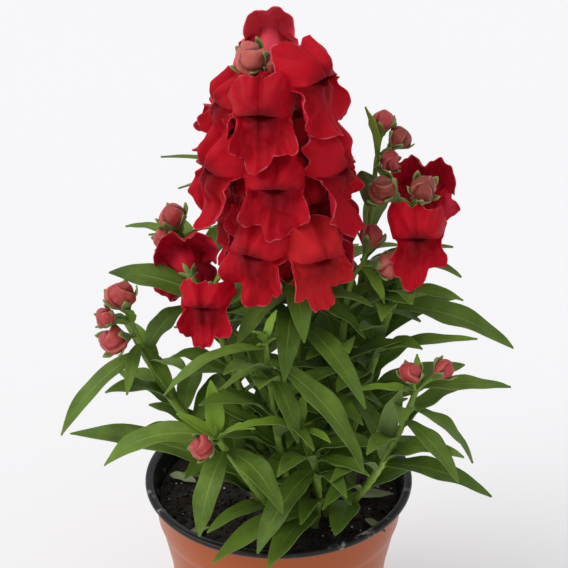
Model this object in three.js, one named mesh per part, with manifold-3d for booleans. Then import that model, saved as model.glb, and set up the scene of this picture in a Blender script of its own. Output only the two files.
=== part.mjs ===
// A red snapdragon in flower in its nursery pot, in millimetres with +Z up.
// The origin is the middle of the pot's base. The plant's showy side faces -Y.
//
// Directions are given as a turn about +Z (0 faces -Y, 90 faces +X) and a rise above the level, in degrees.
import * as THREE from 'three';
import { mergeVertices } from 'three/addons/utils/BufferGeometryUtils.js';
import Module from 'manifold-3d';

const wasm = await Module();
wasm.setup();

// ---------- Driving dimensions ----------

const GAP = 0.3; // clearance between neighbouring bodies
const SEED = 41;

const POT = {
  height: 93,
  rimRadius: 60,
  rimDrop: 2.6,
  floor: 2,
  baseRadius: 45,
  sides: 26,
  // Outside below the rim, and inside: [radius, height], from the base up.
  outside: [[45.4, 1.4], [49.3, 51], [53, 70], [54.6, 74], [56.6, 90]],
  inside: [[44.2, 2], [48.1, 50.6], [51.8, 69.6], [55.4, 89.6]],
};
const DRAIN = { count: 6, ringRadius: 27, radius: 3.6, sides: 6 };
const SOIL = { top: 84, relief: 1.3, bumpyShare: 0.84, flatShare: 0.64, sides: 13 };
const HOLE = { depth: 12, sides: 6 };

const BLADE = { edgeThickness: 0.66, ribThickness: 0.95, petioleHalfWidth: 0.45, fold: 0.26, wave: 0.7 };
const LEAF_ROWS = { large: [0, 0.18, 0.44, 0.76, 1], middle: [0, 0.24, 0.62, 1], small: [0, 0.42, 1] };

// A corolla at size 1: x runs out along its tube, y across, z up.
const COROLLA = {
  seatLength: 2.2,
  seatRadius: 1.3,
  throatDepth: 10.5,
  throatRadius: 5.8,
  mouthDepth: 14,
  faceDepth: 18.5,
  mouthHalfWidth: 8.5,
  mouthHalfHeight: 1.6,
  coreRadius: 9,
  thickness: 0.85,
  ruffleCount: 7,
  hood: 1.2,
};
// Lobes of the corolla's outline: where they point (degrees), their reach past the core and their spread.
// The cheeks widen it beside the mouth.
const LOBES = [
  { at: 38, reach: 6, spread: 36 },
  { at: 142, reach: 6, spread: 36 },
  { at: -51, reach: 12, spread: 27 },
  { at: -129, reach: 12, spread: 27 },
  { at: -90, reach: 12.5, spread: 22 },
];
const CHEEKS = [
  { at: 2, reach: 2.8, spread: 19 },
  { at: 178, reach: 2.8, spread: 19 },
];
const LOBE_SQUARENESS = 2.6;
const PALATE = { rise: 4.6, centre: 0.3, spread: 0.2 };
const STEM_SIDES = 5;
const CALYX = { clearance: 0.6, wall: 0.65, notch: 2.6, tip: 5.8 };
const BUD = { sides: 8, length: 11, radius: 4.8 };

const COLOURS = {
  pot: { color: 0xa85f45, roughness: 0.45 },
  soil: { color: 0x2a2320, roughness: 0.95 },
  leaf: { color: 0x4f7a30, roughness: 0.7 },
  petal: { color: 0xa80f22, roughness: 0.6 },
  bud: { color: 0xb5504c, roughness: 0.6 },
};

// ---------- Stems ----------
// path: points from the soil up. radius: at the foot and at the tip.
// leaves: [height on the stem, turn, rise, length, width, arch, roll].
// fill: leaves set by the spiral rule between two heights, from a first turn, `step` apart, of about
// the given length and width.

const STEMS = [
  {
    name: 'main_stem',
    path: [
      [11, -14, 84],
      [10, -13, 120],
      [7, -11, 165],
      [5, -9, 209],
      [0.8, -7, 237],
      [-4, -5, 282],
      [-5, -4, 292],
    ],
    radius: [2.9, 1.3],
    leaves: [
      [184, -5, -16, 44, 11, 0.14, -12],
      [177, 32, -16, 56, 10, 0.12, 10],
      [200, 10, -34, 34, 10, 0.12, 0],
      [192, -44, -24, 36, 10, 0.12, 0],
      [190, 66, -24, 36, 10, 0.12, 0],
      [196, 150, 10, 42, 11, 0.12, 0],
      [196, -120, 14, 38, 10, 0.12, 0],
    ],
    fill: { from: 104, to: 168, start: 100, step: 15, length: 44, width: 11 },
  },
  {
    name: 'front_left_stem',
    path: [[2, -25, 84], [-10, -36, 110], [-20, -47, 134], [-25, -53, 146]],
    radius: [1.9, 1.2],
    leaves: [
      [97, -50, 2, 34, 9, 0.1, 0],
      [118, -109, 3, 82, 13, 0.08, -20],
      [146, -93, -18, 49, 12, 0.16, -25],
      [138, -23, -46, 37, 11, 0.14, 0],
      [146, -165, 68, 24, 8, 0.05, 0],
      [145, -112, 24, 20, 6, 0.05, -15],
      [145, 64, 30, 20, 6, 0.12, 0],
      [137, 40, -18, 38, 11, 0.16, 8],
    ],
    fill: { from: 98, to: 126, start: -60, step: 13, length: 36, width: 10 },
    buds: [{ name: 'bud_front_left', at: [-30, -61, 147], from: 146, length: 11 }],
  },
  {
    name: 'front_right_stem',
    path: [[29, -17, 84], [37, -28, 104], [43.7, -36, 122.5], [52, -36, 143], [57, -35, 159]],
    radius: [1.8, 1.2],
    leaves: [
      [92, -16, 6, 30, 13, 0.1, 0],
      [123, 19, 70, 48, 10, 0.04, 0],
      [144, 38, -22, 36, 9, 0.1, 0],
      [150, 80, -42, 37, 9, 0.12, 0],
      [122, 72, -8, 48, 10, 0.1, 20],
      [159, 97, -4, 40, 8, 0.04, 18],
      [157, -80, 8, 26, 6, 0.06, 0],
      [159, 178, 50, 14, 4, 0.1, 0],
    ],
    buds: [
      { name: 'bud_front_right_a', at: [54, -39, 168], from: 156, length: 10.5 },
      { name: 'bud_front_right_b', at: [67, -36, 168], from: 159, length: 10 },
    ],
  },
  {
    name: 'young_shoot_left',
    path: [[9, -27, 84], [2, -33, 120], [-2, -38, 150], [-5, -42, 184]],
    radius: [1.7, 0.9],
    leaves: [
      [181, -63, -12, 46, 7, 0.16, 0],
      [176, 62, -43, 60, 12, 0.12, 8],
      [172, 36, -52, 33, 9, 0.1, 0],
      [174, -88, -42, 34, 6, 0.1, 0],
      [184, -30, 45, 14, 4, 0.1, 0],
      [184, 150, 50, 14, 4, 0.1, 0],
    ],
    fill: { from: 108, to: 160, start: 150, step: 20, length: 32, width: 8 },
  },
  {
    name: 'young_shoot_front',
    path: [[16, -28, 84], [17, -35, 108], [14, -43, 130], [9, -48, 148]],
    radius: [1.7, 0.9],
    leaves: [
      [123, -36, -26, 45, 12, 0.12, 0],
      [98, -45, 2, 62, 12, 0.08, 0],
      [94, -25, 4, 50, 12, 0.1, 0],
      [148, 156, 72, 15, 5, 0.05, 0],
      [147, -66, 14, 31, 7, 0.1, 0],
      [146, 40, 10, 18, 5, 0.1, 0],
      [128, 50, 10, 30, 8, 0.1, 0],
    ],
  },
  {
    name: 'left_raceme',
    path: [[2, -15, 84], [-10, -15, 125], [-24, -12, 170], [-28, -11, 194]],
    radius: [2, 1.1],
    leaves: [
      [186, -101, 12, 46, 13, 0.08, -35],
      [180, 60, 10, 30, 8, 0.1, 0],
      [192, 100, 40, 20, 6, 0.1, 0],
    ],
    fill: { from: 112, to: 176, start: -150, step: 18, length: 44, width: 11 },
  },
  {
    name: 'far_left_stem',
    path: [[-3, -20, 84], [-25, -17, 115], [-46, -13, 140], [-56, -11, 160], [-62, -12, 178]],
    radius: [1.9, 1.1],
    leaves: [
      [163, -61, -38, 50, 9, 0.1, -20],
      [167, -14, -40, 24, 6, 0.1, 0],
      [165, 44, -40, 26, 7, 0.1, 0],
      [136, -128, 8, 36, 13, 0.1, 0],
      [176, -95, -8, 16, 5, 0.1, 0],
      [176, -10, 55, 13, 5, 0.1, 0],
      [128, 150, 20, 34, 10, 0.12, 0],
      [118, -100, 5, 36, 10, 0.14, 0],
    ],
    buds: [
      { name: 'bud_far_left_a', at: [-65, -14, 190], from: 177, length: 13.5 },
      { name: 'bud_far_left_b', at: [-71, -19, 183], from: 176, length: 9.5 },
      { name: 'bud_far_left_c', at: [-68, -20, 173], from: 170, length: 13.5 },
    ],
  },
  {
    name: 'right_raceme',
    path: [[24, -8, 84], [33, -8, 125], [44, -8, 170], [53, -6, 205], [55, -4, 228]],
    radius: [2, 1.2],
    leaves: [
      [182, 76, -14, 54, 12, 0.1, 25],
      [163, 60, 20, 48, 7, 0.02, 20],
      [190, 62, 4, 30, 7, 0.06, 15],
      [128, 115, 13, 56, 17, 0.08, 10],
      [100, 112, 2, 50, 14, 0.1, 0],
      [205, 150, 5, 34, 9, 0.12, 0],
    ],
    fill: { from: 112, to: 176, start: 20, step: 18, length: 42, width: 11 },
    buds: [
      { name: 'bud_right_raceme_a', at: [43, -9, 236], from: 226, length: 13 },
      { name: 'bud_right_raceme_b', at: [58, -13, 238], from: 227, length: 12 },
    ],
  },
  {
    name: 'inner_right_stem',
    path: [[21, -18, 84], [24, -14, 130], [28, -11, 180], [31, -9, 197], [36, -12, 205]],
    radius: [1.7, 1],
    leaves: [
      [156, 74, 30, 33, 9, 0.08, 0],
      [203, 30, -30, 20, 5, 0.12, 0],
      [186, 110, 6, 36, 10, 0.12, 0],
    ],
    fill: { from: 112, to: 180, start: 60, step: 22, length: 40, width: 10 },
    buds: [
      { name: 'bud_inner_right_a', at: [38, -9, 215], from: 204, length: 11.5 },
      { name: 'bud_inner_right_b', at: [44, -21, 208], from: 204, length: 11.5 },
    ],
  },
  {
    name: 'top_right_stem',
    path: [[17, -3, 84], [26, 4, 130], [36, 10, 190], [41, 14, 241]],
    radius: [1.8, 1],
    leaves: [
      [218, -20, 60, 26, 12, 0.08, 0],
      [240, -64, 76, 25, 7, 0.04, 0],
      [239, 110, 30, 13, 4, 0.08, 0],
      [238, 30, -35, 12, 4, 0.05, 0],
      [206, 165, 10, 40, 10, 0.12, 0],
    ],
    fill: { from: 112, to: 200, start: 170, step: 22, length: 44, width: 11 },
    buds: [
      { name: 'bud_top_right_a', at: [43, 15, 256], from: 241, length: 10.5 },
      { name: 'bud_top_right_b', at: [49.5, 11, 250], from: 240, length: 10.5 },
      { name: 'bud_top_right_c', at: [45.5, 6, 242], from: 236, length: 9.5 },
    ],
  },
  {
    name: 'back_stem_left',
    path: [[4, -7, 84], [-8, 10, 130], [-28, 22, 172], [-42, 25, 200]],
    radius: [1.8, 1],
    leaves: [
      [197, -115, 2, 30, 5, 0.1, -20],
      [198, 60, 30, 18, 5, 0.1, 0],
      [190, -160, 20, 26, 7, 0.1, 0],
      [198, -62, 34, 15, 4.5, 0.08, 0],
      [196, -95, 12, 17, 4.5, 0.08, 0],
    ],
    fill: { from: 100, to: 186, start: -120, step: 22, length: 46, width: 11 },
    buds: [
      { name: 'bud_back_left_a', at: [-45, 23, 209], from: 198, length: 13 },
      { name: 'bud_back_left_b', at: [-49, 14, 203], from: 197, length: 9.5 },
    ],
  },
  {
    name: 'back_stem_right',
    path: [[11, -3, 84], [16, 14, 122], [20, 28, 158], [22, 34, 186]],
    radius: [1.8, 1],
    leaves: [[185, 160, 45, 20, 5, 0.1, 0], [186, -20, 50, 18, 5, 0.1, 0]],
    fill: { from: 100, to: 182, start: 160, step: 18, length: 46, width: 11 },
  },
];

// ---------- Flowers ----------
// On the spike: height of the mouth, turn, distance of the mouth from the stem, rise and size.
// hood: how tall the upper lip stands, if not as usual. peak: where its lobes point, if not as in LOBES.

const SPIKE_FLOWERS = [
  { name: 'flower_spike_01', height: 287, turn: 50, reach: 25, rise: 10, size: 0.93, hood: 1.45 },
  { name: 'flower_spike_02', height: 277, turn: -6, reach: 26, rise: 0, size: 0.86, hood: 1.45 },
  { name: 'flower_spike_03', height: 249, turn: -1, reach: 29, rise: -2, size: 0.86, hood: 1.05 },
  { name: 'flower_spike_04', height: 251, turn: -58, reach: 28, rise: 0, size: 0.98, hood: 1.4 },
  { name: 'flower_spike_05', height: 251, turn: 58, reach: 28, rise: 0, size: 0.98, hood: 1.45 },
  { name: 'flower_spike_06', height: 220, turn: -27, reach: 28, rise: -6, size: 0.96, hood: 1.1 },
  { name: 'flower_spike_07', height: 219, turn: 26, reach: 29.5, rise: -6, size: 0.96, hood: 1.2 },
  { name: 'flower_spike_08', height: 289, turn: 178, reach: 22, rise: 8, size: 1, hood: 1.2, peak: 62 },
  { name: 'flower_spike_09', height: 275, turn: -70, reach: 19, rise: 4, size: 0.84, hood: 1.3 },
  { name: 'flower_spike_10', height: 268, turn: 104, reach: 20, rise: 4, size: 0.9, behind: true },
  { name: 'flower_spike_11', height: 267, turn: -143, reach: 28, rise: 4, size: 0.92, behind: true },
  { name: 'flower_spike_12', height: 248, turn: 127, reach: 27, rise: 0, size: 0.95, behind: true },
  { name: 'flower_spike_13', height: 243, turn: 180, reach: 28, rise: 0, size: 1, behind: true },
  { name: 'flower_spike_14', height: 247, turn: -121, reach: 27, rise: 0, size: 0.95, behind: true },
  { name: 'flower_spike_15', height: 221, turn: 90, reach: 24, rise: -4, size: 0.95, behind: true },
  { name: 'flower_spike_16', height: 224, turn: -86, reach: 23, rise: -4, size: 0.92, behind: true },
  { name: 'flower_spike_17', height: 216, turn: 162, reach: 27, rise: -4, size: 1, behind: true },
];
const SPIKE_BUDS = [
  { name: 'bud_spike_a', at: [-10, -11, 292], from: 284, length: 14.5 },
  { name: 'bud_spike_b', at: [-1, -12, 290], from: 284, length: 10 },
];
// On the side stems: the mouth's place, turn, rise, size and the height on the stem where the stalk starts.
const LEFT_FLOWERS = [
  { name: 'flower_left_a', mouth: [-40, 4, 199], turn: -166, rise: 2, size: 0.9, hood: 1.4, from: 182 },
  { name: 'flower_left_b', mouth: [-29.5, -33, 197], turn: -8, rise: -8, size: 0.74, hood: 0.85, from: 190 },
];
const RIGHT_FLOWERS = [
  { name: 'flower_right_a', mouth: [55.5, -26, 224], turn: -3, rise: -6, size: 0.77, hood: 1.25, from: 212 },
  { name: 'flower_right_b', mouth: [61, 18, 226], turn: 172, rise: 0, size: 0.92, hood: 1.5, from: 216 },
];
const SIDE_FLOWERS = [
  ...LEFT_FLOWERS.map((flower) => ({ ...flower, stem: 'left_raceme' })),
  ...RIGHT_FLOWERS.map((flower) => ({ ...flower, stem: 'right_raceme' })),
];

// ---------- Small helpers ----------

const radians = THREE.MathUtils.degToRad;
const mix = THREE.MathUtils.lerp;
const smooth = (value) => THREE.MathUtils.smoothstep(value, 0, 1);
const bell = (value, centre, spread) => Math.exp(-(((value - centre) / spread) ** 2));

/** Numbers from 0 to 1 that repeat for the same seed. */
function seededRandom(seed) {
  let state = seed >>> 0;
  return () => {
    state = (state + 0x6d2b79f5) >>> 0;
    let bits = Math.imul(state ^ (state >>> 15), state | 1);
    bits ^= bits + Math.imul(bits ^ (bits >>> 7), bits | 61);
    return ((bits ^ (bits >>> 14)) >>> 0) / 4294967296;
  };
}

/** Unit vector at a turn about +Z and a rise above the level. */
function direction(turn, rise = 0) {
  const flat = Math.cos(radians(rise));
  const x = Math.sin(radians(turn)) * flat;
  const y = -Math.cos(radians(turn)) * flat;
  return new THREE.Vector3(x, y, Math.sin(radians(rise)));
}

/** Smooth curve through hand-placed points. */
function curveThrough(points) {
  const vectors = points.map((point) => new THREE.Vector3(...point));
  return new THREE.CatmullRomCurve3(vectors, false, 'catmullrom', 0.5);
}

/** Point of a rising curve at a height. */
function pointAtHeight(curve, height) {
  let low = 0;
  let high = 1;
  for (let step = 0; step < 24; step += 1) {
    const middle = (low + high) / 2;
    if (curve.getPoint(middle).z < height) low = middle;
    else high = middle;
  }
  return curve.getPoint((low + high) / 2);
}

// ---------- Closed surfaces ----------

/**
 * Closed surface through rings of points. A ring of one point is a pole, and an open end gets a flat cap.
 * isMirrored(ring, side) picks the other diagonal, so that the two faces of a blade are split alike.
 */
function closedLoft(rings, isMirrored = () => false) {
  const starts = [];
  let count = 0;
  for (const ring of rings) {
    starts.push(count);
    count += ring.length;
  }
  const faces = [];
  for (let k = 0; k + 1 < rings.length; k += 1) {
    const here = rings[k].length;
    const next = rings[k + 1].length;
    for (let j = 0; j < Math.max(here, next); j += 1) {
      const a = starts[k] + (j % here);
      const b = starts[k] + ((j + 1) % here);
      const c = starts[k + 1] + (j % next);
      const d = starts[k + 1] + ((j + 1) % next);
      if (here === 1) faces.push([a, d, c]);
      else if (next === 1) faces.push([a, b, c]);
      else if (isMirrored(k, j)) faces.push([a, b, c], [b, d, c]);
      else faces.push([a, b, d], [a, d, c]);
    }
  }
  const last = rings.length - 1;
  const [bottom, top] = [starts[0], starts[last]];
  for (let j = 1; j + 1 < rings[0].length; j += 1) faces.push([bottom, bottom + j + 1, bottom + j]);
  for (let j = 1; j + 1 < rings[last].length; j += 1) faces.push([top, top + j, top + j + 1]);

  const points = rings.flat();
  const volumeOf = ([a, b, c]) => points[a].dot(points[b].clone().cross(points[c]));
  const volume = faces.reduce((sum, face) => sum + volumeOf(face), 0);
  const outward = volume > 0 ? faces : faces.map(([a, b, c]) => [a, c, b]);
  const geometry = new THREE.BufferGeometry().setFromPoints(points);
  geometry.setIndex(outward.flat());
  return geometry;
}

/** Turns a closed three.js geometry into a solid for joins and cuts. */
function solidOf(geometry) {
  const bare = geometry.clone();
  bare.deleteAttribute('normal');
  bare.deleteAttribute('uv');
  const merged = mergeVertices(bare, 1e-4);
  return new wasm.Manifold(new wasm.Mesh({
    numProp: 3,
    vertProperties: new Float32Array(merged.attributes.position.array),
    triVerts: new Uint32Array(merged.index.array),
  }));
}

/** Turns a solid back into a three.js geometry. */
function geometryOf(solid) {
  const mesh = solid.getMesh();
  const geometry = new THREE.BufferGeometry();
  geometry.setAttribute('position', new THREE.BufferAttribute(new Float32Array(mesh.vertProperties), 3));
  geometry.setIndex([...mesh.triVerts]);
  geometry.computeVertexNormals();
  return geometry;
}

const joined = (solids) => solids.reduce((sum, solid) => sum.add(solid));

/** The largest body of a solid: loose scraps left by a cut are dropped. */
const largestBody = (solid) => solid.decompose().sort((a, b) => b.volume() - a.volume())[0].simplify(0.03);

/** Do the boxes round two solids meet? */
function boxesMeet(one, other) {
  const a = one.boundingBox();
  const b = other.boundingBox();
  return [0, 1, 2].every((axis) => a.min[axis] < b.max[axis] && b.min[axis] < a.max[axis]);
}

// ---------- Pot and soil ----------

/** Inside radius of the pot at a height. */
function potInside(height) {
  const next = POT.inside.findIndex(([, z]) => height <= z);
  const [above, below] = [POT.inside[next], POT.inside[next - 1]];
  return mix(below[0], above[0], (height - below[1]) / (above[1] - below[1]));
}

function potSolid() {
  const { height, rimRadius, rimDrop, floor, baseRadius, outside, inside, sides } = POT;
  const profile = [
    [0, 0],
    [baseRadius - 1.2, 0],
    ...outside,
    [rimRadius, height - rimDrop],
    [rimRadius, height - 0.4],
    [rimRadius - 0.5, height],
    [rimRadius - 3, height],
    ...[...inside].reverse(),
    [0, floor],
  ];
  const lathe = new THREE.LatheGeometry(profile.map(([radius, z]) => new THREE.Vector2(radius, z)), sides);
  lathe.rotateX(Math.PI / 2);
  let pot = solidOf(lathe);
  for (let index = 0; index < DRAIN.count; index += 1) {
    const drill = new THREE.CylinderGeometry(DRAIN.radius, DRAIN.radius, 8, DRAIN.sides);
    drill.rotateX(Math.PI / 2);
    const place = direction((360 / DRAIN.count) * index).multiplyScalar(DRAIN.ringRadius);
    drill.translate(place.x, place.y, 0);
    pot = pot.subtract(solidOf(drill));
  }
  return pot;
}

function soilSolid(stems) {
  const random = seededRandom(SEED);
  const floor = POT.floor + GAP;
  const ringOf = (radiusOf, heightOf) => Array.from({ length: SOIL.sides }, (_, side) => {
    const point = direction((360 / SOIL.sides) * side).multiplyScalar(radiusOf());
    point.z = heightOf();
    return point;
  });
  const wallHeights = [floor, POT.inside[1][1], POT.inside[2][1], SOIL.top - 0.8];
  const rings = [
    [new THREE.Vector3(0, 0, floor)],
    ...wallHeights.map((z) => ringOf(() => potInside(z) - GAP, () => z)),
  ];
  const rimOfSoil = potInside(SOIL.top);
  const bump = () => SOIL.top + SOIL.relief * (2 * random() - 1);
  rings.push(ringOf(() => rimOfSoil * SOIL.bumpyShare, bump));
  rings.push(ringOf(() => rimOfSoil * SOIL.flatShare, () => SOIL.top));
  let soil = solidOf(closedLoft(rings));
  for (const stem of stems) {
    const radius = (stem.radius[0] + GAP) / Math.cos(Math.PI / HOLE.sides);
    const drill = new THREE.CylinderGeometry(radius, radius, HOLE.depth * 2, HOLE.sides);
    drill.rotateX(Math.PI / 2);
    drill.translate(stem.path[0][0], stem.path[0][1], SOIL.top);
    soil = soil.subtract(solidOf(drill));
  }
  return soil;
}

// ---------- Leaves ----------

/** Half the width of a lance-shaped blade, a share along it. */
function halfWidth(leaf, share) {
  return Math.max(BLADE.petioleHalfWidth, (leaf.width / 2) * Math.sin(Math.PI * share ** 0.85) ** 0.8);
}

/** Middle line of a blade and its directions along, across and up from the face, a share along it. */
function bladeFrame(leaf, share) {
  const chord = direction(leaf.turn, leaf.rise);
  const lift = direction(leaf.turn, leaf.rise + 90);
  const side = direction(leaf.turn + 90);
  const centre = leaf.base.clone()
    .addScaledVector(chord, leaf.length * share)
    .addScaledVector(lift, 4 * leaf.arch * leaf.length * share * (1 - share));
  const along = chord.clone().addScaledVector(lift, 4 * leaf.arch * (1 - 2 * share)).normalize();
  const face = along.clone().cross(side);
  const roll = radians(leaf.roll) * (0.4 + 0.6 * share);
  const across = side.clone().multiplyScalar(Math.cos(roll)).addScaledVector(face, Math.sin(roll));
  return { centre, along, across, up: along.clone().cross(across) };
}

/** Solid of one blade, made larger all round by `grow`. */
function leafSolid(leaf, grow) {
  const size = leaf.length > 34 ? 'large' : leaf.length > 19 ? 'middle' : 'small';
  const rows = LEAF_ROWS[size];
  const rings = rows.map((share, row) => {
    const { centre, along, across, up } = bladeFrame(leaf, share);
    if (share === 1) return [centre.addScaledVector(along, grow)];
    const half = halfWidth(leaf, share);
    const rib = BLADE.ribThickness / 2 + grow;
    const edge = BLADE.edgeThickness / 2 + grow;
    const wave = BLADE.wave * (half / 6) * (row % 2 === 0 ? 1 : -1);
    const at = (sideways, upwards) => (
      centre.clone().addScaledVector(across, sideways).addScaledVector(up, upwards));
    const rightEdge = BLADE.fold * half + wave;
    const leftEdge = BLADE.fold * half - wave;
    return [
      at(0, rib),
      at(half + grow, rightEdge + edge),
      at(half + grow, rightEdge - edge),
      at(0, -rib),
      at(-half - grow, leftEdge - edge),
      at(-half - grow, leftEdge + edge),
    ];
  });
  return solidOf(closedLoft(rings, (ring, side) => side === 2 || side === 3));
}

/** Points on a blade that stand for it when a new leaf looks for room. */
function bladeSamples(leaf) {
  const samples = [];
  for (const share of [0.25, 0.4, 0.55, 0.7, 0.85, 1]) {
    const { centre, across, up } = bladeFrame(leaf, share);
    const half = share === 1 ? 0 : halfWidth(leaf, share);
    samples.push(centre);
    if (half > 0) {
      const lifted = centre.clone().addScaledVector(up, BLADE.fold * half);
      for (const sign of [-1, 1]) samples.push(lifted.clone().addScaledVector(across, sign * half));
    }
  }
  return samples;
}

const LEAF_ROOM = 3.6; // room that a leaf set by rule keeps round its points
const STEM_ROOM = 4.5;
const FLOWER_ROOM = 19;
const GOLDEN_ANGLE = 137.5;

/** Is a leaf set by rule clear of the leaves, stems and flowers that are there, and of the pot? */
function hasRoom(leaf, taken) {
  return bladeSamples(leaf).every((point) => {
    const spread = Math.hypot(point.x, point.y);
    const floor = spread < 53 ? SOIL.top + 5 : POT.height + 5;
    return point.z > floor && taken.every(({ centre, room }) => point.distanceTo(centre) > room);
  });
}

/** Adds the leaves that a stem carries by the spiral rule, each turned until it finds room. */
function fillLeaves(stem, taken, random) {
  if (!stem.fill) return;
  const { from, to, start, step, length, width } = stem.fill;
  let count = 0;
  for (let height = from; height <= to; height += step) {
    const wanted = {
      base: pointAtHeight(stem.curve, height),
      rise: 18 + 16 * random(),
      length: length * (0.82 + 0.36 * random()),
      width: width * (0.85 + 0.3 * random()),
      arch: 0.1 + 0.08 * random(),
      roll: 30 * (random() - 0.5),
    };
    const turns = Array.from({ length: 18 }, (_, nudge) => start + count * GOLDEN_ANGLE + nudge * 20);
    const candidates = [1, 0.8, 0.65].flatMap((scale) => turns.map((turn) => (
      { ...wanted, turn, length: wanted.length * scale })));
    const leaf = candidates.find((candidate) => hasRoom(candidate, taken));
    if (leaf) {
      stem.blades.push(leaf);
      taken.push(...bladeSamples(leaf).map((centre) => ({ centre, room: LEAF_ROOM })));
    }
    count += 1;
  }
}

// ---------- Corollas and buds ----------

/** Radius of a corolla's outline towards an angle in its face. */
function outlineRadius(angle, lobes) {
  const degrees = THREE.MathUtils.radToDeg(angle);
  return lobes.reduce((sum, lobe) => {
    const apart = THREE.MathUtils.euclideanModulo(degrees - lobe.at + 180, 360) - 180;
    return sum + lobe.reach * Math.exp(-(Math.abs(apart / lobe.spread) ** LOBE_SQUARENESS));
  }, COROLLA.coreRadius);
}

/**
 * Point on the front of the lips at an angle in the face. `share` runs from the mouth (0) to the margin (1).
 * The upper lip stands up as a hood and bends back. The lower one arches at the palate, then flares.
 */
function lipPoint(angle, share, { lobes, ruffle, hood }) {
  const { faceDepth, mouthHalfWidth, mouthHalfHeight, ruffleCount } = COROLLA;
  const cosine = Math.cos(angle);
  const sine = Math.sin(angle);
  const upper = smooth((sine + 0.2) / 0.4);
  const mouth = 1 / Math.hypot(cosine / mouthHalfWidth, sine / mouthHalfHeight);
  const radius = mix(mouth, outlineRadius(angle, lobes), share);
  const palate = PALATE.rise * bell(share, PALATE.centre, PALATE.spread);
  const upperDepth = faceDepth + 3 + 3 * share - 13 * share ** 2;
  const lowerDepth = faceDepth + palate + 6 * share ** 3;
  const wave = mix(1.7, 1.2, upper) * ruffle * share ** 3 * Math.cos(ruffleCount * (angle + Math.PI / 2));
  const depth = mix(lowerDepth, upperDepth, upper) + wave;
  return new THREE.Vector3(depth, radius * cosine, radius * sine * mix(1, hood, upper));
}

/** Rows of points on the front of the lips, with their directions out of the front and past the margin. */
function lipRows(angles, shares, form) {
  const rows = shares.map((share) => angles.map((angle) => lipPoint(angle, share, form)));
  const last = shares.length - 1;
  return rows.map((row, k) => row.map((point, j) => {
    const around = row[(j + 1) % row.length].clone().sub(row[(j + row.length - 1) % row.length]);
    const outwards = rows[Math.min(k + 1, last)][j].clone().sub(rows[Math.max(k - 1, 0)][j]);
    return { point, normal: outwards.clone().cross(around).normalize(), outwards: outwards.normalize() };
  }));
}

/** Frame that carries a corolla's own x, y and z to its place on the plant. */
function flowerMatrix(flower) {
  const out = direction(flower.turn, flower.rise);
  const across = direction(flower.turn + 90);
  const up = out.clone().cross(across);
  const matrix = new THREE.Matrix4().makeBasis(out, across, up);
  matrix.scale(new THREE.Vector3(flower.size, flower.size, flower.size));
  return matrix.setPosition(flower.base);
}

/** Solid of one corolla, tube and both lips in one, made larger all round by `grow`. */
function flowerSolid(flower, grow) {
  const { seatLength, seatRadius, throatDepth, throatRadius, mouthDepth, thickness } = COROLLA;
  const sides = flower.behind ? 10 : 14;
  const random = seededRandom(SEED + flower.seed);
  const aim = ({ at }) => (flower.peak && at > 0 ? 90 + Math.sign(at - 90) * (90 - flower.peak) : at);
  const varied = LOBES.map((lobe) => (
    { ...lobe, at: aim(lobe), reach: lobe.reach * (0.88 + 0.24 * random()) }));
  const ruffle = flower.behind ? 0.4 : 0.8 + 0.4 * random();
  const form = { lobes: [...varied, ...CHEEKS], ruffle, hood: flower.hood ?? COROLLA.hood };
  const extra = grow / flower.size;
  const angles = Array.from({ length: sides }, (_, side) => (2 * Math.PI * side) / sides - Math.PI / 2);
  const circle = (x, radius) => angles.map((angle) => (
    new THREE.Vector3(x, radius * Math.cos(angle), radius * Math.sin(angle))));
  const steps = flower.behind ? [0.5, 1] : [0.36, 0.7, 1];
  const [mouthRow, ...rows] = lipRows(angles, [0.02, ...steps], form);
  const lip = (row, depth) => {
    const past = row === rows.at(-1) ? extra : 0;
    return row.map(({ point, normal, outwards }) => (
      point.clone().addScaledVector(normal, depth).addScaledVector(outwards, past)));
  };
  const rings = [
    [new THREE.Vector3(-extra, 0, 0)],
    circle(seatLength - extra * 0.5, seatRadius + extra),
    circle(throatDepth - extra, throatRadius + extra),
    ...rows.map((row) => lip(row, -thickness - extra)),
    ...[...rows].reverse().map((row) => lip(row, extra)),
    lip(mouthRow, extra),
    [new THREE.Vector3(mouthDepth + extra, 0, 0)],
  ];
  const frontStart = 3 + rows.length;
  const matrix = flowerMatrix(flower);
  return solidOf(closedLoft(rings, (ring) => ring >= frontStart).applyMatrix4(matrix));
}

/** Solid of one unopened bud, blunt at its tip. */
function budSolid(bud, grow) {
  const angles = Array.from({ length: BUD.sides }, (_, side) => (2 * Math.PI * side) / BUD.sides);
  const scale = bud.length / BUD.length;
  const extra = grow / scale;
  const ring = (x, radius) => angles.map((angle) => (
    new THREE.Vector3(x, (radius + extra) * Math.cos(angle), (radius + extra) * Math.sin(angle))));
  const { length, radius } = BUD;
  const rings = [
    [new THREE.Vector3(-extra, 0, 0)],
    ring(0.18 * length, 0.36 * radius),
    ring(0.55 * length, radius),
    ring(0.84 * length, 0.78 * radius),
    [new THREE.Vector3(length + extra, 0, 0)],
  ];
  return solidOf(closedLoft(rings).applyMatrix4(flowerMatrix({ ...bud, size: scale })));
}

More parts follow.
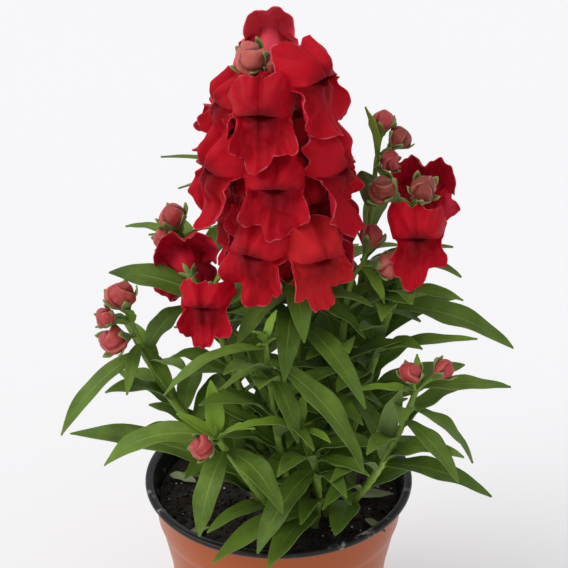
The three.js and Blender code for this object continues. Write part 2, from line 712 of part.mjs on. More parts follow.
/** Green cup of pointed sepals round the foot of a corolla or bud, drawn out into its stalk. */
function calyxSolid({ holder, start, foot }) {
  const count = holder.behind ? 6 : 8;
  const { clearance, wall, notch, tip } = CALYX;
  const ring = (xOf, radiusOf) => Array.from({ length: count }, (_, side) => {
    const angle = (2 * Math.PI * side) / count + Math.PI / 2;
    const isTip = side % 2 === 0;
    const radius = radiusOf(isTip);
    return new THREE.Vector3(xOf(isTip), radius * Math.cos(angle), radius * Math.sin(angle));
  });
  const edge = (isTip) => (isTip ? tip : notch);
  const inner = (isTip) => (foot(edge(isTip)) + clearance) / Math.cos(Math.PI / count);
  const matrix = flowerMatrix(holder);
  const rings = [
    [start.clone().applyMatrix4(matrix.clone().invert())],
    ring(() => 0.6, () => foot(1.6) + clearance + wall),
    ring(edge, (isTip) => inner(isTip) + wall),
    ring(edge, inner),
    [new THREE.Vector3(-clearance * 1.6, 0, 0)],
  ];
  return solidOf(closedLoft(rings).applyMatrix4(matrix));
}

/** Radius of a corolla's tube, at size 1. */
function tubeRadius(x) {
  const { seatLength, seatRadius, throatDepth, throatRadius } = COROLLA;
  const share = (x - seatLength) / (throatDepth - seatLength);
  return x < seatLength ? (seatRadius * x) / seatLength : mix(seatRadius, throatRadius, share);
}

/** Radius of a bud near its foot, at size 1. */
const budFootRadius = (x) => BUD.radius * Math.min(1, 0.05 + x / (0.578 * BUD.length));

// ---------- Stems ----------

/** Solid tube of a few sides along a curve, with a radius that changes along it. */
function tubeSolid(curve, radiusAt, steps, sides) {
  const rings = [];
  for (let step = 0; step <= steps; step += 1) {
    const share = step / steps;
    const centre = curve.getPoint(share);
    const along = curve.getTangent(share);
    const across = new THREE.Vector3(1, 0, 0).addScaledVector(along, -along.x);
    if (across.length() < 0.3) across.set(0, 1, 0).addScaledVector(along, -along.y);
    across.normalize();
    const other = along.clone().cross(across);
    rings.push(Array.from({ length: sides }, (_, side) => {
      const angle = (2 * Math.PI * side) / sides;
      return centre.clone()
        .addScaledVector(across, radiusAt(share) * Math.cos(angle))
        .addScaledVector(other, radiusAt(share) * Math.sin(angle));
    }));
  }
  return solidOf(closedLoft(rings));
}

/** Stem from the bottom of its hole, upright through the soil, then along its path. */
function stemTube(stem, grow) {
  const [footX, footY] = stem.path[0];
  const foot = [footX, footY, SOIL.top - HOLE.depth + GAP - grow];
  const collar = [footX, footY, SOIL.top + 1];
  const [footRadius, tipRadius] = stem.radius;
  const lower = curveThrough([foot, collar]);
  const upper = curveThrough([collar, ...stem.path.slice(1)]);
  const steps = Math.max(4, Math.round(upper.getLength() / 28));
  return joined([
    tubeSolid(lower, () => footRadius + grow, 1, STEM_SIDES),
    tubeSolid(upper, (share) => mix(footRadius, tipRadius, share) + grow, steps, STEM_SIDES),
  ]);
}

/** All of a leafy stem in one solid: stem, leaves, stalks and calyces. */
function stemSolid(stem, grow) {
  const parts = [stemTube(stem, grow)];
  for (const blade of stem.blades) parts.push(leafSolid(blade, grow));
  parts.push(...stem.holders.map(calyxSolid));
  return joined(parts);
}

// ---------- Where everything goes ----------

const stems = STEMS.map((stem) => {
  const curve = curveThrough([[stem.path[0][0], stem.path[0][1], SOIL.top + 1], ...stem.path.slice(1)]);
  const blades = stem.leaves.map(([height, turn, rise, length, width, arch, roll]) => (
    { base: pointAtHeight(curve, height), turn, rise, length, width, arch, roll }));
  return { ...stem, curve, blades, holders: [] };
});
const stemNamed = (name) => stems.find((stem) => stem.name === name);

/** Where a stalk starts inside a stem: at a height, but not past the stem's tip. */
function stalkStart(stem, height) {
  return pointAtHeight(stem.curve, Math.min(height, stem.curve.getPoint(1).z - 2));
}

/** Places a corolla by the middle of its mouth and records its stalk on the stem. */
function placeFlower(flower, stem, mouth, from, seed) {
  const out = direction(flower.turn, flower.rise);
  const base = mouth.clone().addScaledVector(out, -COROLLA.faceDepth * flower.size);
  const placed = { ...flower, base, seed };
  stem.holders.push({ holder: placed, start: stalkStart(stem, from), foot: tubeRadius });
  return placed;
}

/** Places a bud so that it points away from where its stalk starts. */
function placeBud(bud, stem) {
  const start = stalkStart(stem, bud.from);
  const centre = new THREE.Vector3(...bud.at);
  const out = centre.clone().sub(start).normalize();
  const turn = THREE.MathUtils.radToDeg(Math.atan2(out.x, -out.y));
  const rise = THREE.MathUtils.radToDeg(Math.asin(out.z));
  const base = centre.addScaledVector(out, -bud.length / 2);
  const placed = { ...bud, base, turn, rise, size: bud.length / BUD.length };
  stem.holders.push({ holder: placed, start, foot: budFootRadius });
  return placed;
}

const mainStem = stemNamed('main_stem');
const spikeFlowers = SPIKE_FLOWERS.map((flower, index) => {
  const drop = COROLLA.faceDepth * flower.size * Math.sin(radians(flower.rise));
  const onStem = pointAtHeight(mainStem.curve, Math.min(flower.height - drop, 291));
  const mouth = onStem.clone().addScaledVector(direction(flower.turn), flower.reach);
  mouth.z = flower.height;
  return placeFlower(flower, mainStem, mouth, Math.min(flower.height - drop - 2.5, 290), index + 1);
});
const sideFlowers = SIDE_FLOWERS.map((flower, index) => {
  const mouth = new THREE.Vector3(...flower.mouth);
  return placeFlower(flower, stemNamed(flower.stem), mouth, flower.from, 101 + index);
});
const flowers = [...spikeFlowers, ...sideFlowers];
const buds = [
  ...SPIKE_BUDS.map((bud) => placeBud(bud, mainStem)),
  ...stems.flatMap((stem) => (stem.buds ?? []).map((bud) => placeBud(bud, stem))),
];

const taken = [];
for (const stem of stems) {
  for (const blade of stem.blades) {
    taken.push(...bladeSamples(blade).map((centre) => ({ centre, room: LEAF_ROOM })));
  }
  for (let share = 0; share <= 1; share += 0.04) {
    taken.push({ centre: stem.curve.getPoint(share), room: STEM_ROOM });
  }
}
for (const flower of flowers) {
  const centre = flower.base.clone().addScaledVector(direction(flower.turn, flower.rise), 16 * flower.size);
  taken.push({ centre, room: FLOWER_ROOM });
}
for (const bud of buds) taken.push({ centre: new THREE.Vector3(...bud.at), room: 8 });
const fillRandom = seededRandom(SEED * 7);
for (const stem of stems) fillLeaves(stem, taken, fillRandom);

// ---------- Build ----------

const group = new THREE.Group();

function addNode(name, solid, look) {
  const material = new THREE.MeshStandardMaterial({ ...look, metalness: 0 });
  const mesh = new THREE.Mesh(geometryOf(solid), material);
  mesh.name = name;
  group.add(mesh);
}

const placedBodies = [];

/** Cuts a body clear of those already placed, keeps its largest piece and remembers its grown shape. */
function clearOfPlaced(solid, grown) {
  let result = solid;
  for (const other of placedBodies) {
    if (boxesMeet(result, other)) result = result.subtract(other);
  }
  placedBodies.push(grown);
  return largestBody(result);
}

addNode('pot', potSolid(), COLOURS.pot);
addNode('soil', soilSolid(stems), COLOURS.soil);
for (const flower of flowers) {
  addNode(flower.name, clearOfPlaced(flowerSolid(flower, 0), flowerSolid(flower, GAP)), COLOURS.petal);
}
for (const bud of buds) {
  addNode(bud.name, clearOfPlaced(budSolid(bud, 0), budSolid(bud, GAP)), COLOURS.bud);
}
for (const stem of stems) {
  addNode(stem.name, clearOfPlaced(stemSolid(stem, 0), stemSolid(stem, GAP)), COLOURS.leaf);
}

export default group;
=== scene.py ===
"""A red snapdragon in flower in its nursery pot: the fine surfaces and the finishes of every piece.

Lengths in the plans are in millimetres with +Z up, and the origin is the middle of the pot's base.
Directions are a turn about +Z (0 faces -Y, 90 faces +X) and a rise above the level, in degrees.
"""

import logging
from dataclasses import astuple, dataclass, field, replace
from enum import Enum
from typing import Callable, Sequence

import bpy
import numpy as np
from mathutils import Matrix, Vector


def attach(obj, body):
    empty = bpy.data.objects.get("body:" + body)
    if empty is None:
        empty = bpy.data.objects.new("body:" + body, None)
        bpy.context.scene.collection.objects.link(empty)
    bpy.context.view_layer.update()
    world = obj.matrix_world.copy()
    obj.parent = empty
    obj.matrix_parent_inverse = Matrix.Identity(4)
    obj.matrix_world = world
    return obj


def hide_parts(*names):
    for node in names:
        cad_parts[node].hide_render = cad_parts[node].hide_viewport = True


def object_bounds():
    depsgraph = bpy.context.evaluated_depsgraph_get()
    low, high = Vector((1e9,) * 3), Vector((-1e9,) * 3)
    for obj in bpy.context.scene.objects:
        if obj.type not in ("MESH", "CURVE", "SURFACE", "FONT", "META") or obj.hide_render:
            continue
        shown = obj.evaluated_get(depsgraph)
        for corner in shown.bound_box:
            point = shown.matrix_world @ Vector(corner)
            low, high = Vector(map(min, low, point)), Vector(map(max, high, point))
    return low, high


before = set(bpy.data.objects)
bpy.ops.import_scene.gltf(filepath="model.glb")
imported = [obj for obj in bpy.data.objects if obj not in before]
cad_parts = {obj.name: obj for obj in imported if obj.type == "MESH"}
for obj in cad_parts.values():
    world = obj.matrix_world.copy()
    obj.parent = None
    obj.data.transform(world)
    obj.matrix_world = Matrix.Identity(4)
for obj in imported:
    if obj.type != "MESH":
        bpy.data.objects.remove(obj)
CAD_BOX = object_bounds()

LOG = logging.getLogger("snapdragon")
Array = np.ndarray
Colour = tuple[float, float, float, float]
Point = tuple[float, float, float]
Row = tuple[float, ...]
Material = bpy.types.Material
Object = bpy.types.Object
Socket = bpy.types.NodeSocket

MM = 0.001
SEED = 41
UP = np.array([0.0, 0.0, 1.0])
BODY = "root"


# ---------- Plans ----------


@dataclass(frozen=True)
class LeafPlan:
    """A leaf given one by one: height on the stem, direction, size, arch and roll."""

    height: float
    turn: float
    rise: float
    length: float
    width: float
    arch: float = 0.1
    roll: float = 0.0


@dataclass(frozen=True)
class FillPlan:
    """Leaves set by the spiral rule between two heights of a stem."""

    low: float
    high: float
    start: float
    step: float
    length: float
    width: float


@dataclass(frozen=True)
class BudPlan:
    """A bud: its middle, the height on the stem where its stalk starts, and its length."""

    name: str
    at: Point
    stalk_height: float
    length: float


@dataclass(frozen=True)
class StemPlan:
    """A stem: its path from the soil up, its radius at foot and tip, its leaves and its buds."""

    name: str
    path: tuple[Point, ...]
    radius: tuple[float, float]
    leaves: tuple[LeafPlan, ...]
    fill: FillPlan | None = None
    buds: tuple[BudPlan, ...] = ()


@dataclass(frozen=True)
class SpikeFlower:
    """A flower of the spike: height, turn and distance of its mouth from the stem, rise and size.

    The hood is how tall its upper lip stands, and the peak where that lip's lobes point, if not as usual.
    """

    name: str
    height: float
    turn: float
    reach: float
    rise: float
    size: float
    hood: float = 1.2
    peak: float | None = None
    behind: bool = False


@dataclass(frozen=True)
class SideFlower:
    """A flower of a side stem: the place of its mouth, turn, rise, size, stalk height, hood and peak."""

    name: str
    stem: str
    mouth: Point
    turn: float
    rise: float
    size: float
    stalk_height: float
    hood: float = 1.2
    peak: float | None = None
    behind: bool = False


def leaf_plans(*rows: Sequence[float]) -> tuple[LeafPlan, ...]:
    """Leaves from rows of height, turn, rise, length and width, then arch and roll if not as usual."""
    return tuple(LeafPlan(*row) for row in rows)


def spike_flowers(
    name: str, *rows: Sequence[float], first: int = 1, behind: bool = False
) -> tuple[SpikeFlower, ...]:
    """Flowers from rows of a SpikeFlower's numbers, each named by its own number, from the first on."""
    numbered = enumerate(rows, start=first)
    return tuple(SpikeFlower(name.format(number), *row, behind=behind) for number, row in numbered)


STEMS: tuple[StemPlan, ...] = (
    StemPlan(
        "main_stem", radius=(2.9, 1.3),
        path=(
            (11, -14, 84), (10, -13, 120), (7, -11, 165), (5, -9, 209), (0.8, -7, 237), (-4, -5, 282),
            (-5, -4, 292),
        ),
        leaves=leaf_plans(
            (184, -5, -16, 44, 11, 0.14, -12), (177, 32, -16, 56, 10, 0.12, 10),
            (200, 10, -34, 34, 10, 0.12), (192, -44, -24, 36, 10, 0.12), (190, 66, -24, 36, 10, 0.12),
            (196, 150, 10, 42, 11, 0.12), (196, -120, 14, 38, 10, 0.12),
        ),
        fill=FillPlan(104, 168, 100, 15, 44, 11),
    ),
    StemPlan(
        "front_left_stem", radius=(1.9, 1.2),
        path=((2, -25, 84), (-10, -36, 110), (-20, -47, 134), (-25, -53, 146)),
        leaves=leaf_plans(
            (97, -50, 2, 34, 9), (118, -109, 3, 82, 13, 0.08, -20), (146, -93, -18, 49, 12, 0.16, -25),
            (138, -23, -46, 37, 11, 0.14), (146, -165, 68, 24, 8, 0.05), (145, -112, 24, 20, 6, 0.05, -15),
            (145, 64, 30, 20, 6, 0.12), (137, 40, -18, 38, 11, 0.16, 8),
        ),
        fill=FillPlan(98, 126, -60, 13, 36, 10),
        buds=(
            BudPlan("bud_front_left", (-30, -61, 147), 146, 11),
        ),
    ),
    StemPlan(
        "front_right_stem", radius=(1.8, 1.2),
        path=((29, -17, 84), (37, -28, 104), (43.7, -36, 122.5), (52, -36, 143), (57, -35, 159)),
        leaves=leaf_plans(
            (92, -16, 6, 30, 13), (123, 19, 70, 48, 10, 0.04), (144, 38, -22, 36, 9),
            (150, 80, -42, 37, 9, 0.12), (122, 72, -8, 48, 10, 0.1, 20), (159, 97, -4, 40, 8, 0.04, 18),
            (157, -80, 8, 26, 6, 0.06), (159, 178, 50, 14, 4),
        ),
        buds=(
            BudPlan("bud_front_right_a", (54, -39, 168), 156, 10.5),
            BudPlan("bud_front_right_b", (67, -36, 168), 159, 10),
        ),
    ),
    StemPlan(
        "young_shoot_left", radius=(1.7, 0.9),
        path=((9, -27, 84), (2, -33, 120), (-2, -38, 150), (-5, -42, 184)),
        leaves=leaf_plans(
            (181, -63, -12, 46, 7, 0.16), (176, 62, -43, 60, 12, 0.12, 8), (172, 36, -52, 33, 9),
            (174, -88, -42, 34, 6), (184, -30, 45, 14, 4), (184, 150, 50, 14, 4),
        ),
        fill=FillPlan(108, 160, 150, 20, 32, 8),
    ),
    StemPlan(
        "young_shoot_front", radius=(1.7, 0.9),
        path=((16, -28, 84), (17, -35, 108), (14, -43, 130), (9, -48, 148)),
        leaves=leaf_plans(
            (123, -36, -26, 45, 12, 0.12), (98, -45, 2, 62, 12, 0.08), (94, -25, 4, 50, 12),
            (148, 156, 72, 15, 5, 0.05), (147, -66, 14, 31, 7), (146, 40, 10, 18, 5), (128, 50, 10, 30, 8),
        ),
    ),
    StemPlan(
        "left_raceme", radius=(2, 1.1),
        path=((2, -15, 84), (-10, -15, 125), (-24, -12, 170), (-28, -11, 194)),
        leaves=leaf_plans(
            (186, -101, 12, 46, 13, 0.08, -35), (180, 60, 10, 30, 8), (192, 100, 40, 20, 6),
        ),
        fill=FillPlan(112, 176, -150, 18, 44, 11),
    ),
    StemPlan(
        "far_left_stem", radius=(1.9, 1.1),
        path=((-3, -20, 84), (-25, -17, 115), (-46, -13, 140), (-56, -11, 160), (-62, -12, 178)),
        leaves=leaf_plans(
            (163, -61, -38, 50, 9, 0.1, -20), (167, -14, -40, 24, 6), (165, 44, -40, 26, 7),
            (136, -128, 8, 36, 13), (176, -95, -8, 16, 5), (176, -10, 55, 13, 5),
            (128, 150, 20, 34, 10, 0.12), (118, -100, 5, 36, 10, 0.14),
        ),
        buds=(
            BudPlan("bud_far_left_a", (-65, -14, 190), 177, 13.5),
            BudPlan("bud_far_left_b", (-71, -19, 183), 176, 9.5),
            BudPlan("bud_far_left_c", (-68, -20, 173), 170, 13.5),
        ),
    ),
    StemPlan(
        "right_raceme", radius=(2, 1.2),
        path=((24, -8, 84), (33, -8, 125), (44, -8, 170), (53, -6, 205), (55, -4, 228)),
        leaves=leaf_plans(
            (182, 76, -14, 54, 12, 0.1, 25), (163, 60, 20, 48, 7, 0.02, 20), (190, 62, 4, 30, 7, 0.06, 15),
            (128, 115, 13, 56, 17, 0.08, 10), (100, 112, 2, 50, 14), (205, 150, 5, 34, 9, 0.12),
        ),
        fill=FillPlan(112, 176, 20, 18, 42, 11),
        buds=(
            BudPlan("bud_right_raceme_a", (43, -9, 236), 226, 13),
            BudPlan("bud_right_raceme_b", (58, -13, 238), 227, 12),
        ),
    ),
    StemPlan(
        "inner_right_stem", radius=(1.7, 1),
        path=((21, -18, 84), (24, -14, 130), (28, -11, 180), (31, -9, 197), (36, -12, 205)),
        leaves=leaf_plans(
            (156, 74, 30, 33, 9, 0.08), (203, 30, -30, 20, 5, 0.12), (186, 110, 6, 36, 10, 0.12),
        ),
        fill=FillPlan(112, 180, 60, 22, 40, 10),
        buds=(
            BudPlan("bud_inner_right_a", (38, -9, 215), 204, 11.5),
            BudPlan("bud_inner_right_b", (44, -21, 208), 204, 11.5),
        ),
    ),
    StemPlan(
        "top_right_stem", radius=(1.8, 1),
        path=((17, -3, 84), (26, 4, 130), (36, 10, 190), (41, 14, 241)),
        leaves=leaf_plans(
            (218, -20, 60, 26, 12, 0.08), (240, -64, 76, 25, 7, 0.04), (239, 110, 30, 13, 4, 0.08),
            (238, 30, -35, 12, 4, 0.05), (206, 165, 10, 40, 10, 0.12),
        ),
        fill=FillPlan(112, 200, 170, 22, 44, 11),
        buds=(
            BudPlan("bud_top_right_a", (43, 15, 256), 241, 10.5),
            BudPlan("bud_top_right_b", (49.5, 11, 250), 240, 10.5),
            BudPlan("bud_top_right_c", (45.5, 6, 242), 236, 9.5),
        ),
    ),
    StemPlan(
        "back_stem_left", radius=(1.8, 1),
        path=((4, -7, 84), (-8, 10, 130), (-28, 22, 172), (-42, 25, 200)),
        leaves=leaf_plans(
            (197, -115, 2, 30, 5, 0.1, -20), (198, 60, 30, 18, 5), (190, -160, 20, 26, 7),
            (198, -62, 34, 15, 4.5, 0.08), (196, -95, 12, 17, 4.5, 0.08),
        ),
        fill=FillPlan(100, 186, -120, 22, 46, 11),
        buds=(
            BudPlan("bud_back_left_a", (-45, 23, 209), 198, 13),
            BudPlan("bud_back_left_b", (-49, 14, 203), 197, 9.5),
        ),
    ),
    StemPlan(
        "back_stem_right", radius=(1.8, 1),
        path=((11, -3, 84), (16, 14, 122), (20, 28, 158), (22, 34, 186)),
        leaves=leaf_plans(
            (185, 160, 45, 20, 5), (186, -20, 50, 18, 5),
        ),
        fill=FillPlan(100, 182, 160, 18, 46, 11),
    ),
)

SPIKE_FLOWERS = (
    *spike_flowers(
        "flower_spike_{:02d}",
        (287, 50, 25, 10, 0.93, 1.45), (277, -6, 26, 0, 0.86, 1.45), (249, -1, 29, -2, 0.86, 1.05),
        (251, -58, 28, 0, 0.98, 1.4), (251, 58, 28, 0, 0.98, 1.45), (220, -27, 28, -6, 0.96, 1.1),
        (219, 26, 29.5, -6, 0.96, 1.2), (289, 178, 22, 8, 1, 1.1, 62), (275, -70, 19, 4, 0.84, 1.3),
    ),
    *spike_flowers(
        "flower_spike_{:02d}",
        (268, 104, 20, 4, 0.9), (267, -143, 28, 4, 0.92), (248, 127, 27, 0, 0.95), (243, 180, 28, 0, 1),
        (247, -121, 27, 0, 0.95), (221, 90, 24, -4, 0.95), (224, -86, 23, -4, 0.92), (216, 162, 27, -4, 1),
        first=10,
        behind=True,
    ),
)
# Flowers deep in the spike, which show only between the others.
INNER_FLOWERS = spike_flowers(
    "spike_inner_{:c}",
    (259, -33, 17, 0, 0.8, 1.1), (259, 30, 17, 0, 0.8, 1.1), (236, -32, 18, 0, 0.84, 1.1),
    (236, 34, 18, 0, 0.84, 1.1), (281, -28, 15, 4, 0.66, 1.1), (222, 0, 17, -4, 0.8, 1.1),
    (244, -62, 17, 0, 0.84, 1.2),
    first=ord("a"),
    behind=True,
)
SPIKE_BUDS: tuple[BudPlan, ...] = (
    BudPlan("bud_spike_a", (-10, -11, 292), 284, 14.5),
    BudPlan("bud_spike_b", (-1, -12, 290), 284, 10),
)
SIDE_FLOWERS: tuple[SideFlower, ...] = (
    SideFlower("flower_left_a", "left_raceme", (-40, 4, 199), -166, 2, 0.9, 182, hood=1.4),
    SideFlower("flower_left_b", "left_raceme", (-29.5, -33, 197), -8, -8, 0.74, 190, hood=0.85),
    SideFlower("flower_right_a", "right_raceme", (55.5, -26, 224), -3, -6, 0.77, 212, hood=1.25),
    SideFlower("flower_right_b", "right_raceme", (61, 18, 226), 172, 0, 0.92, 216, hood=1.5),
)


# ---------- Sizes shared by the pieces ----------


class Slot(Enum):
    """The record's material slots."""

    POT = "pot"
    SOIL = "soil"
    LEAF = "leaf"
    PETAL = "petal"
    BUD = "bud"


class PetalTint(Enum):
    """What red a corolla has, as the number that the petal's finish reads."""

    ROSE = -1.0
    CRIMSON = 0.0
    WARM = 0.2
    SCARLET = 1.0


class BudTint(Enum):
    """How ripe a bud is, as the number that its finish reads."""

    PALE = -1.0
    SALMON = 0.0
    BRONZE = 1.0


@dataclass(frozen=True)
class Lobe:
    """A lobe of a corolla's outline: where it points in degrees, its reach past the core, its spread."""

    at: float
    reach: float
    spread: float

    def apart(self, degrees: Array, shift: float = 0.0) -> Array:
        """Turn of each angle from the lobe's own, in spreads of the lobe."""
        return np.abs(turned_apart(degrees, self.at + shift)) / self.spread


LOBES = (
    Lobe(38, 6, 36),
    Lobe(142, 6, 36),
    Lobe(-51, 12, 27),
    Lobe(-129, 12, 27),
    Lobe(-90, 12.5, 22),
)
CHEEKS = (Lobe(2, 2.8, 19), Lobe(178, 2.8, 19))
# Flowers and buds of another tint than most.
FLOWER_TINTS = {
    "flower_spike_06": PetalTint.WARM,
    "flower_spike_07": PetalTint.SCARLET,
    "flower_spike_08": PetalTint.ROSE,
}
BUD_TINTS = {
    **dict.fromkeys(("bud_right_raceme_a", "bud_right_raceme_b", "bud_top_right_b"), BudTint.BRONZE),
    **dict.fromkeys(("bud_spike_a", "bud_spike_b", "bud_inner_right_b"), BudTint.PALE),
}

# Narrow leaves that stick out behind the spike: height on the main stem, turn, rise, length and width.
SPIKE_LEAVES = (
    (240.0, -109.0, 3.0, 52.0, 3.6),
    (239.0, -112.0, -13.0, 47.0, 4.2),
)

# Stems whose tips end in a tuft of young leaves.
TUFTED_STEMS = ("front_left_stem", "young_shoot_left", "young_shoot_front", "back_stem_right")

# Old leaves on the soil: x, y, turn, length and width.
FALLEN = (
    (31.0, -7.0, 94.0, 21.0, 5.5),
    (-50.0, 11.0, 62.0, 14.0, 6.5),
    (38.0, -24.0, 40.0, 13.0, 4.0),
    (-30.0, -30.0, -60.0, 12.0, 3.5),
)

# Height of the soil, and distance from a corolla's foot to the plane of its lips, at size 1.
SOIL_TOP = 84.0
FACE_DEPTH = 18.5
GOLDEN_ANGLE = 137.5


# ---------- Arithmetic on whole arrays ----------


def mix(low: Array | float, high: Array | float, share: Array | float) -> Array:
    """Straight blend from low to high."""
    return low + (high - low) * share


def smoothstep(value: Array | float, low: float = 0.0, high: float = 1.0) -> Array:
    """Smooth rise from 0 at low to 1 at high: 3t^2 - 2t^3."""
    share = np.clip((np.asarray(value, float) - low) / (high - low), 0, 1)
    return share * share * (3 - 2 * share)


def bell(value: Array | float, centre: float, spread: float) -> Array:
    """Bell curve of height 1: exp(-((value - centre) / spread)^2)."""
    return np.exp(-(((np.asarray(value, float) - centre) / spread) ** 2))


def turned_apart(degrees: Array, centre: float) -> Array:
    """Shortest turn in degrees from a centre to each angle."""
    return (degrees - centre + 180) % 360 - 180


def unit(vectors: Array) -> Array:
    """Vectors scaled to length one."""
    return vectors / np.maximum(np.linalg.norm(vectors, axis=-1, keepdims=True), 1e-9)


def direction(turn: float, rise: float = 0.0) -> Array:
    """Unit vector at a turn about +Z and a rise above the level, in degrees."""
    turned, risen = np.radians(turn), np.radians(rise)
    return np.array([np.sin(turned) * np.cos(risen), -np.cos(turned) * np.cos(risen), np.sin(risen)])


def ring_angles(count: int) -> Array:
    """Angles of a closed ring's corners, in radians."""
    return np.arange(count) * 2 * np.pi / count


def joined(*parts: Array | float) -> Array:
    """Numbers spread over a common grid and joined as coordinates."""
    return np.stack(np.broadcast_arrays(*parts), axis=-1)


def triple_products(points: Array, triangles: Array) -> Array:
    """p0 . (p1 x p2) of each triangle: six times the volume between it and the origin."""
    first, second, third = (points[triangles[:, corner]] for corner in range(3))
    return np.einsum("ij,ij->i", first, np.cross(second, third))


def seed_of(name: str) -> int:
    """Seed that a name gives: the sum of its letters' codes."""
    return sum(ord(letter) for letter in name)


def ripple(points: Array, wavelength: float, seed: int, count: int = 7) -> Array:
    """Smooth uneven relief of about unit height: a sum of plane waves in seeded directions.

    Args:
        points: Places, in millimetres, with x, y and z last.
        wavelength: Length of the waves, in millimetres.
        seed: Seed of the waves' directions and phases.
        count: Number of waves.

    Returns:
        One number for each point.
    """
    draws = np.random.default_rng(seed)
    headings = unit(draws.normal(size=(count, 3)))
    lengths = wavelength * draws.uniform(0.7, 1.5, count)
    phases = draws.uniform(0, 2 * np.pi, count)
    waves = np.sin(2 * np.pi * (points @ headings.T) / lengths + phases)
    return waves.sum(axis=-1) / np.sqrt(count)


class SeededDraws:
    """Numbers from 0 to 1 that repeat for the same seed."""

    WORD = 0xFFFFFFFF
    STEP = 0x6D2B79F5

    def __init__(self, seed: int) -> None:
        """Starts the row of numbers at a seed."""
        self._state = seed & self.WORD

    def __call__(self) -> float:
        """Draws the next number.

        Returns:
            A number from 0 to 1.
        """
        self._state = (self._state + self.STEP) & self.WORD
        state = self._state
        bits = ((state ^ (state >> 15)) * (state | 1)) & self.WORD
        bits ^= (bits + ((bits ^ (bits >> 7)) * (bits | 61))) & self.WORD
        return (bits ^ (bits >> 14)) / (self.WORD + 1)


class Curve:
    """Smooth curve through given points: a Catmull-Rom curve of tension one half."""

    NEAR = 0.0005
    HALVINGS = 24

    def __init__(self, points: Sequence[Sequence[float]]) -> None:
        """Keeps the points, with one more past each end on the line of its last two.

        Args:
            points: The points that the curve goes through.
        """
        own = np.array(points, float)
        self._spans = len(own) - 1
        self._padded = np.vstack([2 * own[:1] - own[1:2], own, 2 * own[-1:] - own[-2:-1]])

    def at(self, share: Array | float) -> Array:
        """Points at shares of the way: the cubic Hermite blend of the span that each share falls in.

        Args:
            share: Shares of the way, 0 at the first point and 1 at the last.

        Returns:
            One point for each share.
        """
        place = np.clip(np.asarray(share, float), 0, 1) * self._spans
        span = np.minimum(place.astype(int), self._spans - 1)
        part = (place - span)[..., None]
        before, first, second, after = (self._padded[span + step] for step in range(4))
        leaving, arriving = 0.5 * (second - before), 0.5 * (after - first)
        return (
            (2 * part**3 - 3 * part**2 + 1) * first
            + (part**3 - 2 * part**2 + part) * leaving
            + (3 * part**2 - 2 * part**3) * second
            + (part**3 - part**2) * arriving
        )

    def along(self, share: Array | float) -> Array:
        """Unit directions of the curve at shares of the way."""
        share = np.asarray(share, float)
        return unit(self.at(share + self.NEAR) - self.at(share - self.NEAR))

    def at_height(self, height: float) -> Array:
        """Finds the point of a rising curve at a height, by halving.

        Args:
            height: The height.

        Returns:
            The point.
        """
        low, high = 0.0, 1.0
        for _ in range(self.HALVINGS):
            middle = (low + high) / 2
            if self.at(middle)[2] < height:
                low = middle
            else:
                high = middle
        return self.at((low + high) / 2)

    @property
    def top(self) -> float:
        """Height of the last point."""
        return float(self._padded[-2, 2])


@dataclass(frozen=True)
class Seat:
    """Where a corolla or a bud sits: its base, the way its tube points, and its size."""

    base: Array
    turn: float
    rise: float
    size: float

    @property
    def axes(self) -> Array:
        """Rows: out along the tube, across, and up."""
        out, across = direction(self.turn, self.rise), direction(self.turn + 90)
        return np.array([out, across, np.cross(out, across)])

    def place(self, local: Array) -> Array:
        """Points of the piece's own frame brought to the plant."""
        return self.base + self.size * (local @ self.axes)

    def on_axis(self, x: float) -> Array:
        """Point on the axis of the tube, as far out as x at size 1."""
        return self.place(np.array([x, 0.0, 0.0]))


# ---------- Meshes ----------

# Stands for the fourth corner of a triangle.
BLANK = -1
# Tone of a shell that needs none of its own.
MIDDLING = (0.5, 0.5, 0.0)


